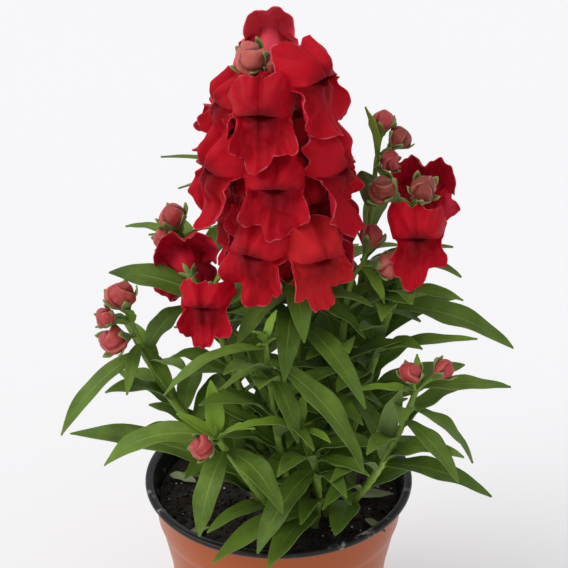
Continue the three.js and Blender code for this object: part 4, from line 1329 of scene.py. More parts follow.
@dataclass
class Stem:
    """A leafy stem with what it carries: leaves, and the stalks and calyces of its flowers and buds."""

    plan: StemPlan
    curve: Curve = field(init=False)
    blades: list[Blade] = field(init=False)
    calyces: list[Calyx] = field(default_factory=list)
    bracts: list[Blade] = field(default_factory=list)

    foot: float = 72.3
    rows: int = 70
    sides: int = 22
    joint_swell: float = 0.16
    joint_reach: float = 1.6
    young_length: float = 32
    young_depth: float = 3
    tuft_leaves: int = 6

    def __post_init__(self) -> None:
        """Works out the curve above the soil and sets the listed leaves."""
        (foot_x, foot_y, _), *rest = self.plan.path
        self.curve = Curve([(foot_x, foot_y, SOIL_TOP + 1), *rest])
        self.blades = [
            Blade(self.curve.at_height(leaf.height), *astuple(leaf)[1:], self._age(leaf))
            for leaf in self.plan.leaves
        ]
        if self.plan.name in TUFTED_STEMS:
            self._add_tuft()

    def _age(self, leaf: LeafPlan) -> float:
        """Minus one for a young leaf, which is a short one at the tip, and zero for any other."""
        is_young = leaf.length < self.young_length and leaf.height > self.curve.top - self.young_depth
        return -1.0 if is_young else 0.0

    def _add_tuft(self) -> None:
        """Sets a few small young leaves round the tip, a golden angle apart."""
        draws = SeededDraws(SEED * 31)
        for number in range(self.tuft_leaves):
            base = self.curve.at_height(self.curve.top - 0.4 * number - 0.3)
            turn, rise = number * GOLDEN_ANGLE, 68 - 7 * number
            length, width = 5 + 4 * draws(), 2.2 + draws()
            self.bracts.append(Blade(base, turn, rise, length, width, 0.1, 0, age=-1.0))

    def stalk_start(self, height: float) -> Array:
        """Where a stalk starts inside the stem: at a height, but not past the tip."""
        return self.curve.at_height(min(height, self.curve.top - 2))

    def carry(self, seat: Seat, start: Array, foot: Callable[[Array], Array], seed: int) -> None:
        """Notes a calyx, and sets a small bract under its stalk.

        Args:
            seat: Where the flower or bud sits.
            start: Where its stalk starts.
            foot: Radius of the flower or bud near its foot.
            seed: Seed of the calyx's differences.
        """
        self.calyces.append(Calyx(seat, start, foot, seed))
        draws = SeededDraws(SEED * 29 + seed)
        turn = seat.turn + 30 * (draws() - 0.5)
        rise = min(seat.rise, 40) - 18 + 16 * draws()
        self.bracts.append(Blade(start, turn, rise, 9 + 5 * draws(), 3 + 1.2 * draws(), 0.16, 0, age=-0.5))

    def build(self, stem_finish: Material, sepal: Material, leaf: Material) -> None:
        """Builds the stem with its stalks as one piece and its leaves as another.

        Args:
            stem_finish: Finish of the stem and the stalks.
            sepal: Finish of the calyces.
            leaf: Finish of the leaves.
        """
        name = self.plan.name
        stalks = Skin(name + "_stalks")
        share = np.linspace(0, 1, self.rows)
        foot_radius, tip_radius = self.plan.radius
        line, along = self.curve.at(share), self.curve.along(share)
        buried = np.array([self.plan.path[0][0], self.plan.path[0][1], self.foot])
        line = np.vstack([buried, line])
        along = np.vstack([UP, along])
        joints = np.array([blade.base for blade in self.blades])
        apart = np.linalg.norm(line[:, None] - joints[None], axis=-1).min(axis=1)
        near = bell(apart, 0, self.joint_reach)
        heights = np.concatenate([[0], share])
        radius = mix(foot_radius, tip_radius, heights) * (1 + self.joint_swell * near)
        rings = sweep(line, along, radius, self.sides)
        form = np.broadcast_to(heights[:, None, None], rings.shape)
        stalks.add_shell(rings, form, MIDDLING, finish=0)
        for calyx in self.calyces:
            calyx.add_to(stalks)
        settle(stalks.build([stem_finish, sepal]), Slot.LEAF, name)
        leaves = Skin(name + "_leaves")
        draws = SeededDraws(SEED + seed_of(name))
        for blade in [*self.blades, *self.bracts]:
            blade.add_to(leaves, draws)
        settle(leaves.build([leaf]), Slot.LEAF, name)


# ---------- Pot and soil ----------


@dataclass(frozen=True)
class Pot:
    """Thin round nursery pot: brick red outside, black inside and on its rolled rim, with drain holes."""

    sides: int = 160
    height: float = 93.0
    base: float = 2.0
    drain_count: int = 6
    drain_ring: float = 27.0
    drain_radius: float = 3.6
    drain_sides: int = 24
    sharp: float = 40.0

    # Radius and height along the wall: up the outside, round the rim and down the inside.
    outside: tuple[Row, ...] = (
        (40, 0), (43.6, 0), (44.8, 0.4), (45.35, 1.4), (45.8, 6), (47.6, 30), (49.2, 50), (49.9, 54),
        (52.9, 69), (53.2, 70.6), (54.3, 73.2), (54.75, 74.6), (55.4, 80), (56.1, 86), (56.5, 89.6),
        (56.9, 90.2),
    )
    rim: tuple[Row, ...] = (
        (58.6, 90.3), (59.5, 90.5), (59.93, 91.1), (60, 91.8), (59.85, 92.5), (59.4, 92.9), (58.6, 93),
        (57.2, 92.95), (56.5, 92.5), (56.0, 91.5), (55.5, 89.6),
    )
    inside: tuple[Row, ...] = (
        (54.3, 83.5), (53.2, 77), (51.9, 69.6), (48.1, 50.6), (46.2, 28), (44.2, 2.4), (43.4, 2), (38, 2),
    )

    def build(self, brick: Material, black: Material) -> None:
        """Builds the pot: the profile turned about Z, then the drain holes cut through its base.

        Args:
            brick: Finish of the outside.
            black: Finish of the rim and the inside.
        """
        profile = np.array([*self.outside, *self.rim, *self.inside], float)
        around = ring_angles(self.sides)
        radius, height = profile[:, :1], profile[:, 1:]
        rings = joined(radius * np.sin(around), -radius * np.cos(around), height)
        form = joined(np.sin(around), np.cos(around), height / self.height)
        bands = np.where(np.arange(len(profile) - 1) < len(self.outside) - 1, 0, 1)
        skin = Skin("pot_shell")
        ends = (np.zeros(3), self.base * UP)
        skin.add_shell(rings, form, MIDDLING, finish=bands, ends=ends)
        piece = skin.build([brick, black])
        drills = Skin("drain_drills")
        turn = ring_angles(self.drain_sides)
        circle = joined(self.drain_radius * np.cos(turn), self.drain_radius * np.sin(turn), 0)
        for number in range(self.drain_count):
            ring = direction(360 / self.drain_count * number) * self.drain_ring + circle
            rings = np.stack([ring - 3 * UP, ring + 5 * UP])
            drills.add_shell(rings, np.zeros_like(rings), MIDDLING, finish=1)
        cutter = drills.build([brick, black], smooth=False)
        cut = piece.modifiers.new("drain_holes", "BOOLEAN")
        cut.operation, cut.solver, cut.object = "DIFFERENCE", "EXACT", cutter
        bpy.context.view_layer.update()
        evaluated = piece.evaluated_get(bpy.context.evaluated_depsgraph_get())
        piece.data = bpy.data.meshes.new_from_object(evaluated)
        piece.modifiers.clear()
        piece.data.set_sharp_from_angle(angle=np.radians(self.sharp))
        bpy.data.objects.remove(cutter)
        settle(piece, Slot.POT, "pot")


@dataclass(frozen=True)
class Soil:
    """Dark potting mix: an uneven top with crumbs and bits of bark, and pale specks of perlite."""

    crumbs: int = 620
    chips: int = 90
    specks: int = 85
    sides: int = 200
    rows: int = 60
    reach: float = 52.6

    # Radius and height up the side, just inside the pot's wall.
    side: tuple[Row, ...] = ((43.4, 2.4), (47.7, 50.6), (51.45, 69.6), (53.75, 82.2))
    top_radius: float = 53.85

    @staticmethod
    def height(x: Array, y: Array) -> Array:
        """Height of the top: level, with broad and fine relief, and lower by the wall.

        Args:
            x: Places across.
            y: Places in depth.

        Returns:
            One height for each place.
        """
        place = joined(x, y, 0.0)
        relief = 0.55 * ripple(place, 22, 3) + 0.3 * ripple(place, 8, 4) + 0.16 * ripple(place, 3.2, 5)
        return SOIL_TOP - 0.1 + relief - 0.8 * smoothstep(np.hypot(x, y), 46, 54)

    def build(self, earth: Material, perlite: Material) -> None:
        """Builds the body of the mix, then its crumbs and its pale specks.

        Args:
            earth: Finish of the mix.
            perlite: Finish of the pale specks.
        """
        around = ring_angles(self.sides)
        side = np.array(self.side)
        side_rings = joined(side[:, :1] * np.cos(around), side[:, :1] * np.sin(around), side[:, 1:])
        radius = (self.top_radius * np.linspace(1, 0.02, self.rows) ** 0.9)[:, None]
        x, y = radius * np.cos(around), radius * np.sin(around)
        rings = np.concatenate([side_rings, joined(x, y, self.height(x, y))])
        body = Skin("soil_body")
        body.add_shell(rings, rings * 0.01, MIDDLING)
        settle(body.build([earth]), Slot.SOIL, "soil")
        settle(self._lumps("soil_crumbs", earth, 11), Slot.SOIL)
        settle(self._lumps("soil_perlite", perlite, 12, is_speck=True), Slot.SOIL)

    def _lumps(self, name: str, material: Material, seed: int, is_speck: bool = False) -> Object:
        """Scatters lumps over the top: one twenty-faced solid, stretched and turned anew for each.

        Args:
            name: Name of the piece.
            material: Its finish.
            seed: Seed of the places and sizes.
            is_speck: Whether they are the pale specks.

        Returns:
            The new object.
        """
        draws = np.random.default_rng(seed)
        count = self.specks if is_speck else self.crumbs + self.chips
        radius = self.reach * np.sqrt(draws.uniform(0, 1, count))
        turn = draws.uniform(0, 2 * np.pi, count)
        x, y = radius * np.cos(turn), radius * np.sin(turn)
        size = draws.uniform(0.3, 0.75, count) if is_speck else draws.uniform(0.45, 1.15, count)
        stretch = draws.uniform(0.7, 1.3, (count, 3)) * size[:, None]
        if not is_speck:
            stretch[: self.chips] *= [3.6, 1.1, 0.55]
        basis = np.linalg.qr(draws.normal(size=(count, 3, 3)))[0]
        basis *= np.sign(np.linalg.det(basis))[:, None, None]
        corners, triangles = self._icosahedron()
        rough = corners[None] * draws.uniform(0.75, 1.2, (count, 12, 1)) * stretch[:, None]
        points = np.einsum("nij,nvj->nvi", basis, rough)
        lift = np.minimum(size, 0.5) * 0.4
        points += joined(x, y, self.height(x, y) + lift)[:, None]
        skin = Skin(name)
        tones = np.repeat(draws.uniform(0, 1, (count, 3)), 12, axis=0)
        skin.add_copies(points, triangles, tones)
        return skin.build([material], smooth=False)

    @staticmethod
    def _icosahedron() -> tuple[Array, Array]:
        """Works out a solid of twenty triangles: each face joins three corners one edge apart.

        Returns:
            Its corners and its faces.
        """
        golden = (1 + np.sqrt(5)) / 2
        flat = np.array([[0, sign_a, sign_b * golden] for sign_a in (-1, 1) for sign_b in (-1, 1)])
        corners = np.vstack([np.roll(flat, shift, axis=1) for shift in range(3)])
        apart = np.linalg.norm(corners[:, None] - corners[None], axis=-1)
        is_edge = np.isclose(apart, 2)
        a, b, c = np.meshgrid(*[np.arange(12)] * 3, indexing="ij")
        is_face = (a < b) & (b < c) & is_edge[a, b] & is_edge[b, c] & is_edge[a, c]
        triangles = joined(a[is_face], b[is_face], c[is_face])
        inward = triple_products(corners, triangles) < 0
        triangles[inward] = triangles[inward][:, ::-1]
        return unit(corners), triangles


# ---------- Finishes ----------


def operation(kind: str, is_reflected: bool = False, clamp: bool = False) -> Callable[..., "Number"]:
    """An operator of Number: one Math node of a kind.

    Args:
        kind: The Math node's operation.
        is_reflected: Whether the other number comes first.
        clamp: Whether the result is kept between 0 and 1.

    Returns:
        A method of Number.
    """

    def add_node(number: "Number", *others: "Number | float") -> "Number":
        """Adds the Math node.

        Args:
            number: The number that the operator belongs to.
            others: The numbers that it is joined with, if any.

        Returns:
            The node's result.
        """
        values = [*others, number] if is_reflected else [number, *others]
        settings = {"operation": kind, "use_clamp": clamp}
        node = number.graph.node("ShaderNodeMath", settings, dict(enumerate(values)))
        return Number(number.graph, node.outputs[0])

    return add_node


class Number:
    """A number that varies over a surface. Arithmetic on it adds Math nodes."""

    def __init__(self, graph: "Graph", socket: Socket) -> None:
        """Keeps the socket that the number comes out of."""
        self.graph = graph
        self.socket = socket

    __add__ = __radd__ = operation("ADD")
    __sub__ = operation("SUBTRACT")
    __rsub__ = operation("SUBTRACT", is_reflected=True)
    __mul__ = __rmul__ = operation("MULTIPLY")
    __abs__ = operation("ABSOLUTE")
    sine = operation("SINE")
    _clamped_sum = operation("ADD", clamp=True)

    def __neg__(self) -> "Number":
        """The number below zero."""
        return self * -1.0

    def clamped(self) -> "Number":
        """Kept between 0 and 1."""
        return self._clamped_sum(0.0)

    def rise(self, low: float, high: float) -> "Number":
        """Smooth rise from 0 at low to 1 at high, or a fall where low is above high.

        Args:
            low: Where it is 0.
            high: Where it is 1.

        Returns:
            A number from 0 to 1.
        """
        settings = {"interpolation_type": "SMOOTHSTEP"}
        ends = {"Value": self, "From Min": min(low, high), "From Max": max(low, high)}
        ends.update({"To Min": 0.0, "To Max": 1.0} if low < high else {"To Min": 1.0, "To Max": 0.0})
        return Number(self.graph, self.graph.node("ShaderNodeMapRange", settings, ends).outputs[0])


Feed = Number | Socket | float | Sequence[float]


class Graph:
    """The nodes of one finish."""

    def __init__(self, name: str) -> None:
        """Starts a finish with nothing but the object's coordinates, in metres.

        Args:
            name: Name of the material.
        """
        self.material = bpy.data.materials.new(name)
        self.material.use_nodes = True
        self._tree = self.material.node_tree
        self._tree.nodes.clear()
        self.place = self.node("ShaderNodeTexCoord", {}, {}).outputs["Object"]

    def node(self, kind: str, settings: dict[str, object], inputs: dict[str | int, Feed]) -> bpy.types.Node:
        """Adds one node.

        Args:
            kind: The node's type.
            settings: Its settings, which are set first.
            inputs: Values or links of its sockets, by name or place.

        Returns:
            The new node.
        """
        made = self._tree.nodes.new(kind)
        for key, value in settings.items():
            setattr(made, key, value)
        for key, value in inputs.items():
            source = value.socket if isinstance(value, Number) else value
            if isinstance(source, Socket):
                self._tree.links.new(source, made.inputs[key])
            else:
                made.inputs[key].default_value = source
        return made

    def attribute(self, name: str) -> tuple[Number, Number, Number]:
        """Reads one of the mesh's attributes.

        Args:
            name: Name of the attribute.

        Returns:
            Its three numbers.
        """
        source = self.node("ShaderNodeAttribute", {"attribute_name": name}, {}).outputs["Vector"]
        parts = self.node("ShaderNodeSeparateXYZ", {}, {0: source})
        return tuple(Number(self, parts.outputs[axis]) for axis in range(3))

    def vector(self, x: Feed, y: Feed, z: Feed) -> Socket:
        """A vector of three numbers."""
        return self.node("ShaderNodeCombineXYZ", {}, {0: x, 1: y, 2: z}).outputs[0]

    def noise(
        self, scale: float, detail: float, roughness: float = 0.55, where: Feed | None = None
    ) -> Number:
        """Cloudy noise from 0 to 1.

        Args:
            scale: How fine it is.
            detail: How many finer layers it has.
            roughness: How strong these are.
            where: What it is read on, if not the object's coordinates.

        Returns:
            The noise.
        """
        vector = self.place if where is None else where
        inputs = {"Vector": vector, "Scale": scale, "Detail": detail, "Roughness": roughness}
        return Number(self, self.node("ShaderNodeTexNoise", {}, inputs).outputs[0])

    def cells(self, scale: float) -> Number:
        """Distance to the nearest of many scattered points."""
        cells = self.node("ShaderNodeTexVoronoi", {}, {"Vector": self.place, "Scale": scale})
        return Number(self, cells.outputs[0])

    def blend(self, low: Feed, high: Feed, factor: Feed) -> Socket:
        """Colour from low to high."""
        settings = {"data_type": "RGBA", "clamp_factor": True}
        return self.node("ShaderNodeMix", settings, {0: factor, 6: low, 7: high}).outputs[2]

    def bump(self, height: Number, strength: float, distance: float) -> Socket:
        """Relief for the shader's normal."""
        inputs = {"Strength": strength, "Distance": distance, "Height": height}
        return self.node("ShaderNodeBump", {}, inputs).outputs[0]

    def surface(
        self, colour: Feed, roughness: Feed, normal: Feed, specular: float, **constants: object
    ) -> Material:
        """Ends the finish in one shader.

        Args:
            colour: Base colour.
            roughness: Roughness.
            normal: Normal, from a bump.
            specular: Specular IOR level.
            constants: Plain values of further sockets, with _ for each space of their names.

        Returns:
            The finished material.
        """
        inputs = {"Base Color": colour, "Roughness": roughness, "Normal": normal}
        inputs["Specular IOR Level"] = specular
        inputs.update({name.replace("_", " "): value for name, value in constants.items()})
        shader = self.node("ShaderNodeBsdfPrincipled", {}, inputs)
        self.node("ShaderNodeOutputMaterial", {}, {"Surface": shader.outputs[0]})
        return self.material


@dataclass(frozen=True)
class BrickPlastic:
    """Satin brick-red plastic with faint mould lines, scuffs and dust."""

    colour: Colour = (0.37, 0.082, 0.018, 1)
    worn: Colour = (0.42, 0.15, 0.06, 1)

    def build(self) -> Material:
        """Makes the material.

        Returns:
            The finish.
        """
        graph = Graph("pot_brick_plastic")
        clouds = graph.noise(35, 4)
        grain = graph.noise(1500, 2)
        _, _, height = graph.attribute("form")
        lines = (height * 420.0).sine()
        scuffs = graph.noise(160, 5, 0.75).rise(0.6, 0.78)
        colour = graph.blend(self.colour, self.worn, clouds.rise(0.45, 0.9) * 0.3 + scuffs * 0.2)
        rough = clouds * 0.16 + scuffs * 0.15 + 0.24
        normal = graph.bump(grain * 0.35 + lines * 0.12, 0.12, 0.0003)
        return graph.surface(colour, rough, normal, 0.24)


@dataclass(frozen=True)
class BlackPlastic:
    """Glossy black plastic with dust and lime where water has dried."""

    colour: Colour = (0.005, 0.0045, 0.0045, 1)
    dusty: Colour = (0.018, 0.015, 0.013, 1)
    lime: Colour = (0.42, 0.41, 0.38, 1)

    def build(self) -> Material:
        """Makes the material.

        Returns:
            The finish.
        """
        graph = Graph("pot_black_plastic")
        clouds = graph.noise(60, 4)
        stains = graph.noise(120, 6, 0.7)
        _, _, height = graph.attribute("form")
        low_wall = height.rise(0.985, 0.93)
        dust = graph.blend(self.colour, self.dusty, clouds.rise(0.45, 0.75) * 0.8)
        colour = graph.blend(dust, self.lime, stains.rise(0.56, 0.7) * low_wall * 0.7)
        rough = clouds * 0.1 + low_wall * 0.25 + 0.06
        normal = graph.bump(graph.noise(900, 2), 0.08, 0.0002)
        return graph.surface(colour, rough, normal, 0.3)


@dataclass(frozen=True)
class Earth:
    """Moist dark potting mix of fibres and crumbs."""

    dark: Colour = (0.005, 0.0038, 0.0032, 1)
    light: Colour = (0.05, 0.029, 0.017, 1)

    def build(self) -> Material:
        """Makes the material.

        Returns:
            The finish.
        """
        graph = Graph("soil_potting_mix")
        grain = graph.noise(520, 6, 0.7)
        lumps = graph.cells(700)
        colour = graph.blend(self.dark, self.light, grain.rise(0.4, 0.75) * 0.8 + lumps * 0.25)
        normal = graph.bump(grain + lumps * 0.5, 0.9, 0.0012)
        wet = graph.noise(140, 3).rise(0.45, 0.7)
        return graph.surface(colour, 0.85 - wet * 0.4, normal, 0.25)


@dataclass(frozen=True)
class Perlite:
    """Off-white porous specks."""

    pale: Colour = (0.6, 0.57, 0.5, 1)
    stained: Colour = (0.3, 0.24, 0.17, 1)

    def build(self) -> Material:
        """Makes the material.

        Returns:
            The finish.
        """
        graph = Graph("soil_perlite_specks")
        pores = graph.noise(1800, 4)
        colour = graph.blend(self.pale, self.stained, pores.rise(0.5, 0.75))
        normal = graph.bump(pores, 0.5, 0.0003)
        return graph.surface(colour, 0.85 + pores * 0.1, normal, 0.2)


@dataclass(frozen=True)
class LeafMatte:
    """Matte green leaf: paler midrib and edge, side veins, greyish underside, young and old tints."""

    dark: Colour = (0.042, 0.082, 0.007, 1)
    light: Colour = (0.165, 0.27, 0.028, 1)
    under: Colour = (0.165, 0.24, 0.08, 1)
    rib: Colour = (0.22, 0.34, 0.07, 1)
    young: Colour = (0.23, 0.38, 0.03, 1)
    old: Colour = (0.25, 0.27, 0.15, 1)

    def build(self) -> Material:
        """Makes the material.

        Returns:
            The finish.
        """
        graph = Graph("leaf_matte")
        across, share, side = graph.attribute("form")
        random, second, age = graph.attribute("tone")
        clouds = graph.noise(90, 4)
        speckle = graph.noise(900, 3)
        width = abs(across)
        slant = (share * 46.0 - width * 9.0 + clouds * 3.0).sine()
        veins = slant.rise(0.55, 1.0) * width.rise(0.05, 0.3)
        tone = clouds.rise(0.25, 0.8) * 0.45 + random * 0.4 + speckle * 0.18 - 0.05
        blade = graph.blend(self.dark, self.light, tone.clamped())
        blade = graph.blend(blade, self.young, age.rise(0.0, -1.0) * 0.6 + second.rise(0.8, 1.0) * 0.25)
        grown = 1 - age.rise(0.0, -1.0) * 0.7
        blade = graph.blend(blade, self.under, side.rise(0.4, -0.4) * (0.6 + 0.3 * clouds) * grown)
        blade = graph.blend(blade, self.rib, veins * 0.06 + width.rise(0.94, 1.0) * 0.25)
        rib = width.rise(0.08, 0.02) * share.rise(0.95, 0.45)
        blade = graph.blend(blade, self.rib, rib * 0.5)
        blade = graph.blend(blade, self.old, age.rise(0.3, 1.0) * (0.75 + 0.25 * clouds))
        rough = 0.5 + clouds * 0.16 + side.rise(0.4, -0.4) * 0.1
        relief = speckle * 0.35 + clouds * 0.5 - veins * 0.22 - rib * 0.3
        normal = graph.bump(relief, 0.35, 0.0004)
        return graph.surface(blade, rough, normal, 0.24)


@dataclass(frozen=True)
class StemGreen:
    """Fresh yellow-green stem, browner and streaked at its foot."""

    fresh: Colour = (0.27, 0.4, 0.06, 1)
    deep: Colour = (0.12, 0.21, 0.028, 1)
    woody: Colour = (0.12, 0.11, 0.045, 1)

    def build(self) -> Material:
        """Makes the material.

        Returns:
            The finish.
        """
        graph = Graph("stem_green")
        height, _, _ = graph.attribute("form")
        parts = {0: graph.place, 1: (1.0, 1.0, 0.12)}
        drawn_out = graph.node("ShaderNodeVectorMath", {"operation": "MULTIPLY"}, parts).outputs[0]
        streaks = graph.noise(1100, 4, where=drawn_out)
        clouds = graph.noise(80, 3)
        colour = graph.blend(self.fresh, self.deep, streaks.rise(0.35, 0.75) * 0.7 + clouds * 0.2)
        colour = graph.blend(colour, self.woody, height.rise(0.22, 0.0) * 0.7)
        normal = graph.bump(streaks, 0.3, 0.0003)
        return graph.surface(colour, 0.45 + clouds * 0.2, normal, 0.4)


@dataclass(frozen=True)
class SepalGreen:
    """Yellow-green sepals with a paler edge and a keel."""

    fresh: Colour = (0.16, 0.26, 0.035, 1)
    deep: Colour = (0.07, 0.13, 0.016, 1)
    edge: Colour = (0.34, 0.4, 0.12, 1)

    def build(self) -> Material:
        """Makes the material.

        Returns:
            The finish.
        """
        graph = Graph("sepal_green")
        lobe, share, _ = graph.attribute("form")
        clouds = graph.noise(260, 4)
        hairs = graph.noise(2200, 2)
        colour = graph.blend(self.deep, self.fresh, clouds.rise(0.3, 0.7))
        colour = graph.blend(colour, self.edge, share.rise(0.72, 1.0) * 0.5 + lobe.rise(0.25, 0.0) * 0.3)
        normal = graph.bump(hairs + clouds * 0.6, 0.4, 0.0003)
        return graph.surface(colour, 0.55 + clouds * 0.15, normal, 0.35, Sheen_Weight=0.15)


@dataclass(frozen=True)
class PetalVelvet:
    """Velvety petal: streaked deep red face with painted shade towards the mouth and on the lower lip, paler
    back, and a thin pale margin that is partly a painted highlight, with rose and scarlet tints.
    """

    # The darkest red of the face; it is also the colour of the painted shade towards the mouth and on the
    # lower lip.
    deep: Colour = (0.145, 0.0003, 0.0042, 1)
    bright: Colour = (0.58, 0.003, 0.015, 1)
    scarlet_deep: Colour = (0.21, 0.001, 0.0035, 1)
    scarlet: Colour = (0.62, 0.016, 0.022, 1)
    rose: Colour = (0.8, 0.075, 0.115, 1)
    back: Colour = (0.56, 0.01, 0.034, 1)
    margin: Colour = (0.78, 0.17, 0.21, 1)
    throat: Colour = (0.55, 0.05, 0.008, 1)

    def build(self) -> Material:
        """Makes the material.

        Returns:
            The finish.
        """
        graph = Graph("petal_velvet")
        cosine, sine, share = graph.attribute("form")
        random, front, tint = graph.attribute("tone")
        around = graph.vector(cosine * 11.0, sine * 11.0, share * 1.6 + random * 9.0)
        streaks = graph.noise(1.0, 4, 0.6, where=around)
        clouds = graph.noise(110, 3)
        nap = graph.noise(2600, 2)
        # The tone is the petal's own uneven red from streaks, clouds and chance, and it falls towards the
        # mouth and the tube as painted shade in the throat.
        tone = streaks.rise(0.3, 0.75) * 0.1 + clouds * 0.5 + share.rise(0.02, 0.6) * 0.6
        tone = tone + random * 0.2 - 0.32
        crimson = graph.blend(self.deep, self.bright, tone.clamped())
        scarlet = graph.blend(self.scarlet_deep, self.scarlet, tone.clamped())
        face = graph.blend(crimson, scarlet, tint.clamped())
        # Painted shade: the front of the lower lip darkens towards deep red, standing for the shade under the
        # upper lip that hangs over it.
        face = graph.blend(face, self.deep, sine.rise(0.05, -0.35) * front * share.rise(0.95, 0.3) * 0.36)
        behind = front.rise(0.6, 0.4)
        face = graph.blend(face, self.back, behind * (0.6 + 0.25 * streaks))
        face = graph.blend(face, self.rose, (-tint).clamped() * (0.7 + 0.3 * clouds))
        mouth = share.rise(0.1, 0.0) * front * sine.rise(-0.1, -0.5)
        face = graph.blend(face, self.throat, mouth * streaks.rise(0.4, 0.65) * 0.22)
        # The thin pale margin is partly the petal's own paler edge and partly a painted highlight where light
        # catches the edge, in patches.
        patches = graph.noise(260, 2).rise(0.42, 0.62)
        edge = share.rise(0.97, 1.0) * (0.08 + 0.92 * patches)
        face = graph.blend(face, self.margin, edge * (0.52 + 0.3 * (-tint).clamped()))
        rough = 0.5 + clouds * 0.16
        crinkle = graph.noise(230, 4, 0.6)
        normal = graph.bump(nap * 0.3 + streaks * 0.3 + crinkle * 1.3, 0.4, 0.0007)
        sheen = {"Sheen_Weight": 0.12, "Sheen_Roughness": 0.35, "Sheen_Tint": (1.0, 0.12, 0.2, 1.0)}
        return graph.surface(face, rough, normal, 0.1, **sheen)


@dataclass(frozen=True)
class BudSkin:
    """Waxy bud: red petals with painted highlights along their edges and painted shade where each tucks under
    the next, bronze when young, greener at the foot.
    """

    salmon: Colour = (0.43, 0.04, 0.042, 1)
    pale: Colour = (0.62, 0.2, 0.14, 1)
    bronze: Colour = (0.2, 0.034, 0.018, 1)
    shade: Colour = (0.11, 0.006, 0.008, 1)
    green: Colour = (0.25, 0.28, 0.08, 1)

    def build(self) -> Material:
        """Makes the material.

        Returns:
            The finish.
        """
        graph = Graph("bud_skin")
        petal, _, share = graph.attribute("form")
        random, second, tint = graph.attribute("tone")
        clouds = graph.noise(330, 4, 0.65)
        along = graph.vector(petal * 7.0, second * 9.0, share * 2.4)
        veins = graph.noise(1.8, 4, 0.65, where=along)
        colour = graph.blend(self.salmon, self.bronze, tint.clamped() * 0.8 + random * 0.15)
        colour = graph.blend(colour, self.pale, (-tint).clamped() * 0.36)
        colour = graph.blend(colour, self.pale, veins.rise(0.48, 0.75) * 0.3 + clouds.rise(0.55, 0.75) * 0.35)
        # Painted shade: each petal darkens just past its lap, where it tucks under the next one.
        colour = graph.blend(colour, self.shade, petal.rise(0.22, 0.0) * 0.85)
        # Painted highlight: a pale band along each petal's edge, just before its lap.
        edge = petal.rise(0.84, 0.92) * petal.rise(0.99, 0.93)
        colour = graph.blend(colour, self.pale, edge * (0.25 + 0.5 * clouds))
        colour = graph.blend(colour, self.green, share.rise(0.45, 0.12) * 0.75)
        normal = graph.bump(veins + clouds * 0.7, 0.5, 0.0005)
        return graph.surface(colour, 0.38 + clouds * 0.2, normal, 0.34, Sheen_Weight=0.04)


@dataclass(frozen=True)
class PaleFloor:
    """Plain pale studio floor, faintly uneven, with a faint glow so that shade on it stays pale."""

    colour: Colour = (0.672, 0.668, 0.678, 1)
    shade: Colour = (0.65, 0.646, 0.66, 1)
    glow: Colour = (1.0, 0.985, 0.97, 1)
    power: float = 0.25

    def build(self) -> Material:
        """Makes the material.

        Returns:
            The finish.
        """
        graph = Graph("studio_floor")
        clouds = graph.noise(2, 2)
        colour = graph.blend(self.colour, self.shade, clouds * 0.5)
        normal = graph.bump(clouds, 0.02, 0.001)
        shine = {"Emission_Color": self.glow, "Emission_Strength": self.power}
        return graph.surface(colour, 0.9 + clouds * 0.05, normal, 0.1, **shine)


# ---------- The plant and its studio ----------


